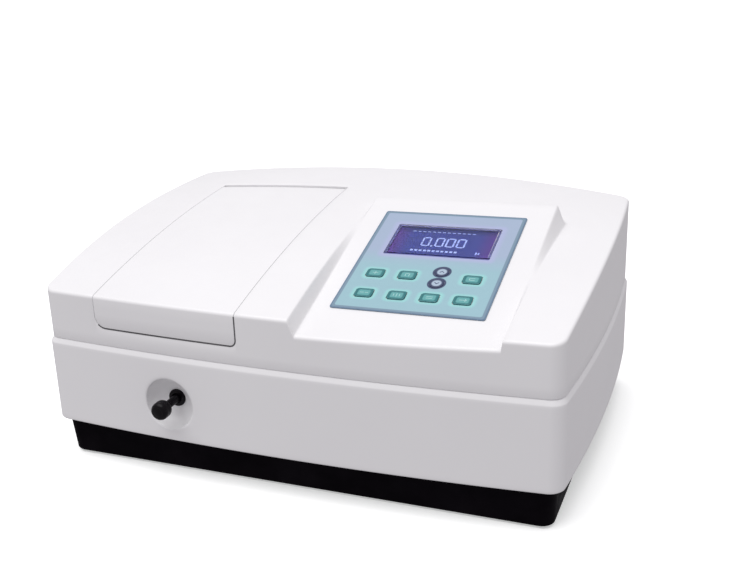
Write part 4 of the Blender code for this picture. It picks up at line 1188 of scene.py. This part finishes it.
def screenFinish():
    look = {"heart": (0.026, 0.038, 0.205), "end": (0.070, 0.026, 0.185),
            "top": (0.007, 0.012, 0.070), "glow": 0.60}
    (a0, _), (a1, b1) = keypad["window"]
    make = Recipe("lit screen", look["heart"], 0.35, Emission_Strength=look["glow"])
    at, u, v = panelPlace(make)
    side = make.spread(abs(u - (a0 + a1) / 2), 0.031, 0.045)
    shade = make.spread(v, b1 - 0.012, b1 - 0.003)
    tone = make.mix(shade * 0.8, make.mix(side * 0.9, look["heart"], look["end"]), look["top"])
    cells = make.node("ShaderNodeTexBrick", {"offset": 0.0}, {
        "Vector": at, "Scale": 1100, "Mortar Size": 0.05, "Brick Width": 1.0, "Row Height": 1.0,
        "Color1": (1, 1, 1, 1), "Color2": (0.94, 0.94, 0.96, 1), "Mortar": (0.8, 0.8, 0.85, 1)},
        "Color")
    tone = make.node("ShaderNodeMix", {"data_type": "RGBA", "blend_type": "MULTIPLY"},
                     {0: 1.0, 6: tone, 7: cells}, 2)
    make.feed("Base Color", tone)
    make.feed("Emission Color", tone)
    return make.material


def segmentFinish():
    make = Recipe("lit segments", (0.32, 0.40, 0.78), 0.4, Emission_Strength=0.38)
    glow = make.noise(make.place(), 500, 2)
    tone = make.mix(make.spread(glow, 0.3, 0.7), (0.32, 0.40, 0.78), (0.42, 0.50, 0.86))
    make.feed("Base Color", tone)
    make.feed("Emission Color", tone)
    return make.material


def makeDisplay():
    (a0, b0), (a1, b1) = keypad["window"]
    rim, face = 0.0024, -0.00042
    screen = plate("lit_screen", (a0 + rim, b0 + rim), (a1 - rim, b1 - rim), face - 0.0001, face,
                   0.0008, 0)
    dress(ontoPanel(screen), screenFinish(), "housing", "screen")
    bezel = plate("screen_bezel", (a0 + 0.0003, b0 + 0.0003), (a1 - 0.0003, b1 - 0.0003), 0.00005,
                  0.00025, 0.001, 0)
    cutAway(bezel, plate("tool", (a0 + rim, b0 + rim), (a1 - rim, b1 - rim), -0.002, 0.002, 0.0012,
                         0))
    dress(ontoPanel(bezel), finishes["bezel"], "housing", "screen")

    digits = {"height": 0.0125, "width": 0.0066, "pitch": 0.0098, "line": 0.0015, "v": 0.1420,
              "u": 0.0835}
    z, w, h, line = face + 0.0001, digits["width"], digits["height"], digits["line"]
    strokes = []
    for n in range(4):
        u = digits["u"] + n * digits["pitch"] + (0.0028 if n else 0)
        v = digits["v"]
        strokes += [(u - w / 2, v + h / 4, line, h / 2 - 0.0006, 0),
                    (u - w / 2, v - h / 4, line, h / 2 - 0.0006, 0),
                    (u + w / 2, v + h / 4, line, h / 2 - 0.0006, 0),
                    (u + w / 2, v - h / 4, line, h / 2 - 0.0006, 0),
                    (u, v + h / 2, w - line, line, 0), (u, v - h / 2, w - line, line, 0)]
    strokes.append((digits["u"] + digits["pitch"] * 0.5 + 0.0014, digits["v"] - h / 2, 0.0020,
                    0.0020, 0))
    upper = [(0.0680 + 0.0046 * n, 0.1578, 0.0028, 0.0009, 0) for n in range(13)]
    lower = [(0.0740 + 0.0040 * n, 0.1280, 0.0026, 0.0024, 0) for n in range(11)]
    lower += [(0.1325, 0.1280, 0.0014, 0.0036, 0), (0.1348, 0.1280, 0.0014, 0.0026, 0)]
    label = mark("lit_segments", strokes + upper + lower, (0, 0), z)
    dress(label, segmentFinish(), "housing", "screen")


finishes["bezel"] = mouldedDark("screen bezel", (0.120, 0.125, 0.330), (0.3, 0.4), 1700, 0.00002)
makeFilm()
for name, look in capLooks.items():
    duller = tuple(c * 0.9 for c in look["ink"])
    finishes[f"{name} print"] = keyFinish(f"{name} print", (0, 0), look["ink"], duller, (0.2, 0.2),
                                          0.01)
makeKeys()
makeArrows()
makeDisplay()
print("keypad and display made")


def makeScrew(name, at):
    head = {"radius": 0.0029, "rise": 0.0012, "slot": 0.0007}
    r, rise = head["radius"], head["rise"]
    profile = [(0, rise), (r * 0.5, rise), (r * 0.85, rise * 0.75), (r, rise * 0.3), (r, 0), (0, 0)]
    screw = turnedPiece(name, profile, Vector((0, 0, 0)), (0, 0, 1), 24)
    cross = [boxPiece("tool", (-r * 0.62, -0.00035, rise - head["slot"]),
                      (r * 0.62, 0.00035, rise + 0.001)),
             boxPiece("tool", (-0.00035, -r * 0.62, rise - head["slot"]),
                      (0.00035, r * 0.62, rise + 0.001))]
    cutAway(screw, *cross)
    placed(screw, at, (0, 1, 0))
    return smooth(screw, 30)


def makeRear():
    rear = {"plate": 0.1593, "z": 0.0785, "fan": (0.085, 0.0258), "inlet": -0.100}
    behind = rear["plate"] + form["shiftY"] + 0.0001
    spots = [(x, z) for x in (-0.147, 0.0, 0.147) for z in (0.0505, 0.1065)]
    screws = [makeScrew(f"panel_screw_{n}", (x, behind, z)) for n, (x, z) in enumerate(spots)]
    reach = rear["fan"][1]
    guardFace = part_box("fan_guard")[1].y + 0.0001
    corners = [(rear["fan"][0] + a * reach, rear["z"] + b * reach) for a in (-1, 1)
               for b in (-1, 1)]
    screws += [makeScrew(f"guard_screw_{n}", (x, guardFace, z)) for n, (x, z) in enumerate(corners)]
    dress(joined("rear_screws", screws), finishes["plated"], "housing", "steel")

    low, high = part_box("power_inlet")
    pins = []
    half = Vector((0.0010, 0, 0.0020))
    for n, (dx, dz) in enumerate(((-0.007, -0.0035), (0.007, -0.0035), (0, 0.0035))):
        x, z = rear["inlet"] + dx, (low.z + high.z) / 2 + dz
        inner, outer = Vector((x, low.y + 0.004, z)), Vector((x, high.y - 0.0035, z))
        pins.append(boxPiece(f"pin_{n}", inner - half, outer + half, 0.0003))
    dress(joined("inlet_pins", pins), finishes["plated"], "housing", "steel")


makeRear()
print("rear fittings made")


def makeStage():
    deselectAll()
    bpy.ops.mesh.primitive_plane_add(size=40)
    floor = named(bpy.context.object, "studio_floor")
    make = Recipe("studio paper", (0.955, 0.955, 0.955), 0.95, Specular_IOR_Level=0.1,
                  Emission_Strength=0.40)
    make.shader.inputs["Emission Color"].default_value = (0.98, 1.0, 0.985, 1)
    paper = make.noise(make.place(), 300, 2)
    make.feed("Base Color", make.mix(make.spread(paper, 0.3, 0.7), (0.955, 0.955, 0.955),
                                     (0.950, 0.950, 0.950)))
    floor.data.materials.append(make.material)
    # the paper throws no light back on the housing
    floor.visible_diffuse = floor.visible_glossy = False

    air = {"light": (0.486, 0.472, 0.492), "sun": 2.02, "spread": 56, "from": (-0.13, -0.24, 1.0),
           "tone": (1, 0.995, 1)}
    world = bpy.data.worlds.new("studio air")
    bpy.context.scene.world = world
    world.use_nodes = True
    tree = world.node_tree
    path, mix = tree.nodes.new("ShaderNodeLightPath"), tree.nodes.new("ShaderNodeMix")
    mix.data_type = "RGBA"
    mix.inputs[6].default_value, mix.inputs[7].default_value = (*air["light"], 1), (1, 1, 1, 1)
    # a plain white backdrop in view
    tree.links.new(path.outputs["Is Camera Ray"], mix.inputs[0])
    tree.links.new(mix.outputs[2], tree.nodes["Background"].inputs["Color"])
    lamp = bpy.data.lights.new("soft_overhead", "SUN")
    lamp.energy, lamp.angle, lamp.color = air["sun"], math.radians(air["spread"]), air["tone"]
    holder = bpy.data.objects.new("soft_overhead", lamp)
    holder.rotation_euler = Vector(air["from"]).to_track_quat("Z", "Y").to_euler()
    bpy.context.scene.collection.objects.link(holder)


def makeCamera():
    view = {"at": (0.3656, -0.8695, 0.4656), "yaw": 0.371, "pitch": 0.335, "roll": -0.032,
            "lens": 51.3, "shift": (-0.0042, -0.0024)}
    yaw, pitch, roll = view["yaw"], view["pitch"], view["roll"]
    ahead = Vector((-math.sin(yaw) * math.cos(pitch), math.cos(yaw) * math.cos(pitch),
                    -math.sin(pitch)))
    level = Vector((math.cos(yaw), math.sin(yaw), 0))
    upright = level.cross(ahead)
    right = math.cos(roll) * level + math.sin(roll) * upright
    up = -math.sin(roll) * level + math.cos(roll) * upright
    camera = bpy.data.objects.new("camera", bpy.data.cameras.new("camera"))
    camera.data.lens = view["lens"]
    camera.data.shift_x, camera.data.shift_y = view["shift"]
    axes = Matrix((right, up, -ahead)).transposed().to_4x4()
    camera.matrix_world = Matrix.Translation(view["at"]) @ axes
    bpy.context.scene.collection.objects.link(camera)
    bpy.context.scene.camera = camera


makeStage()
makeCamera()
bpy.context.scene.view_settings.view_transform = "Standard"
print("stage set")
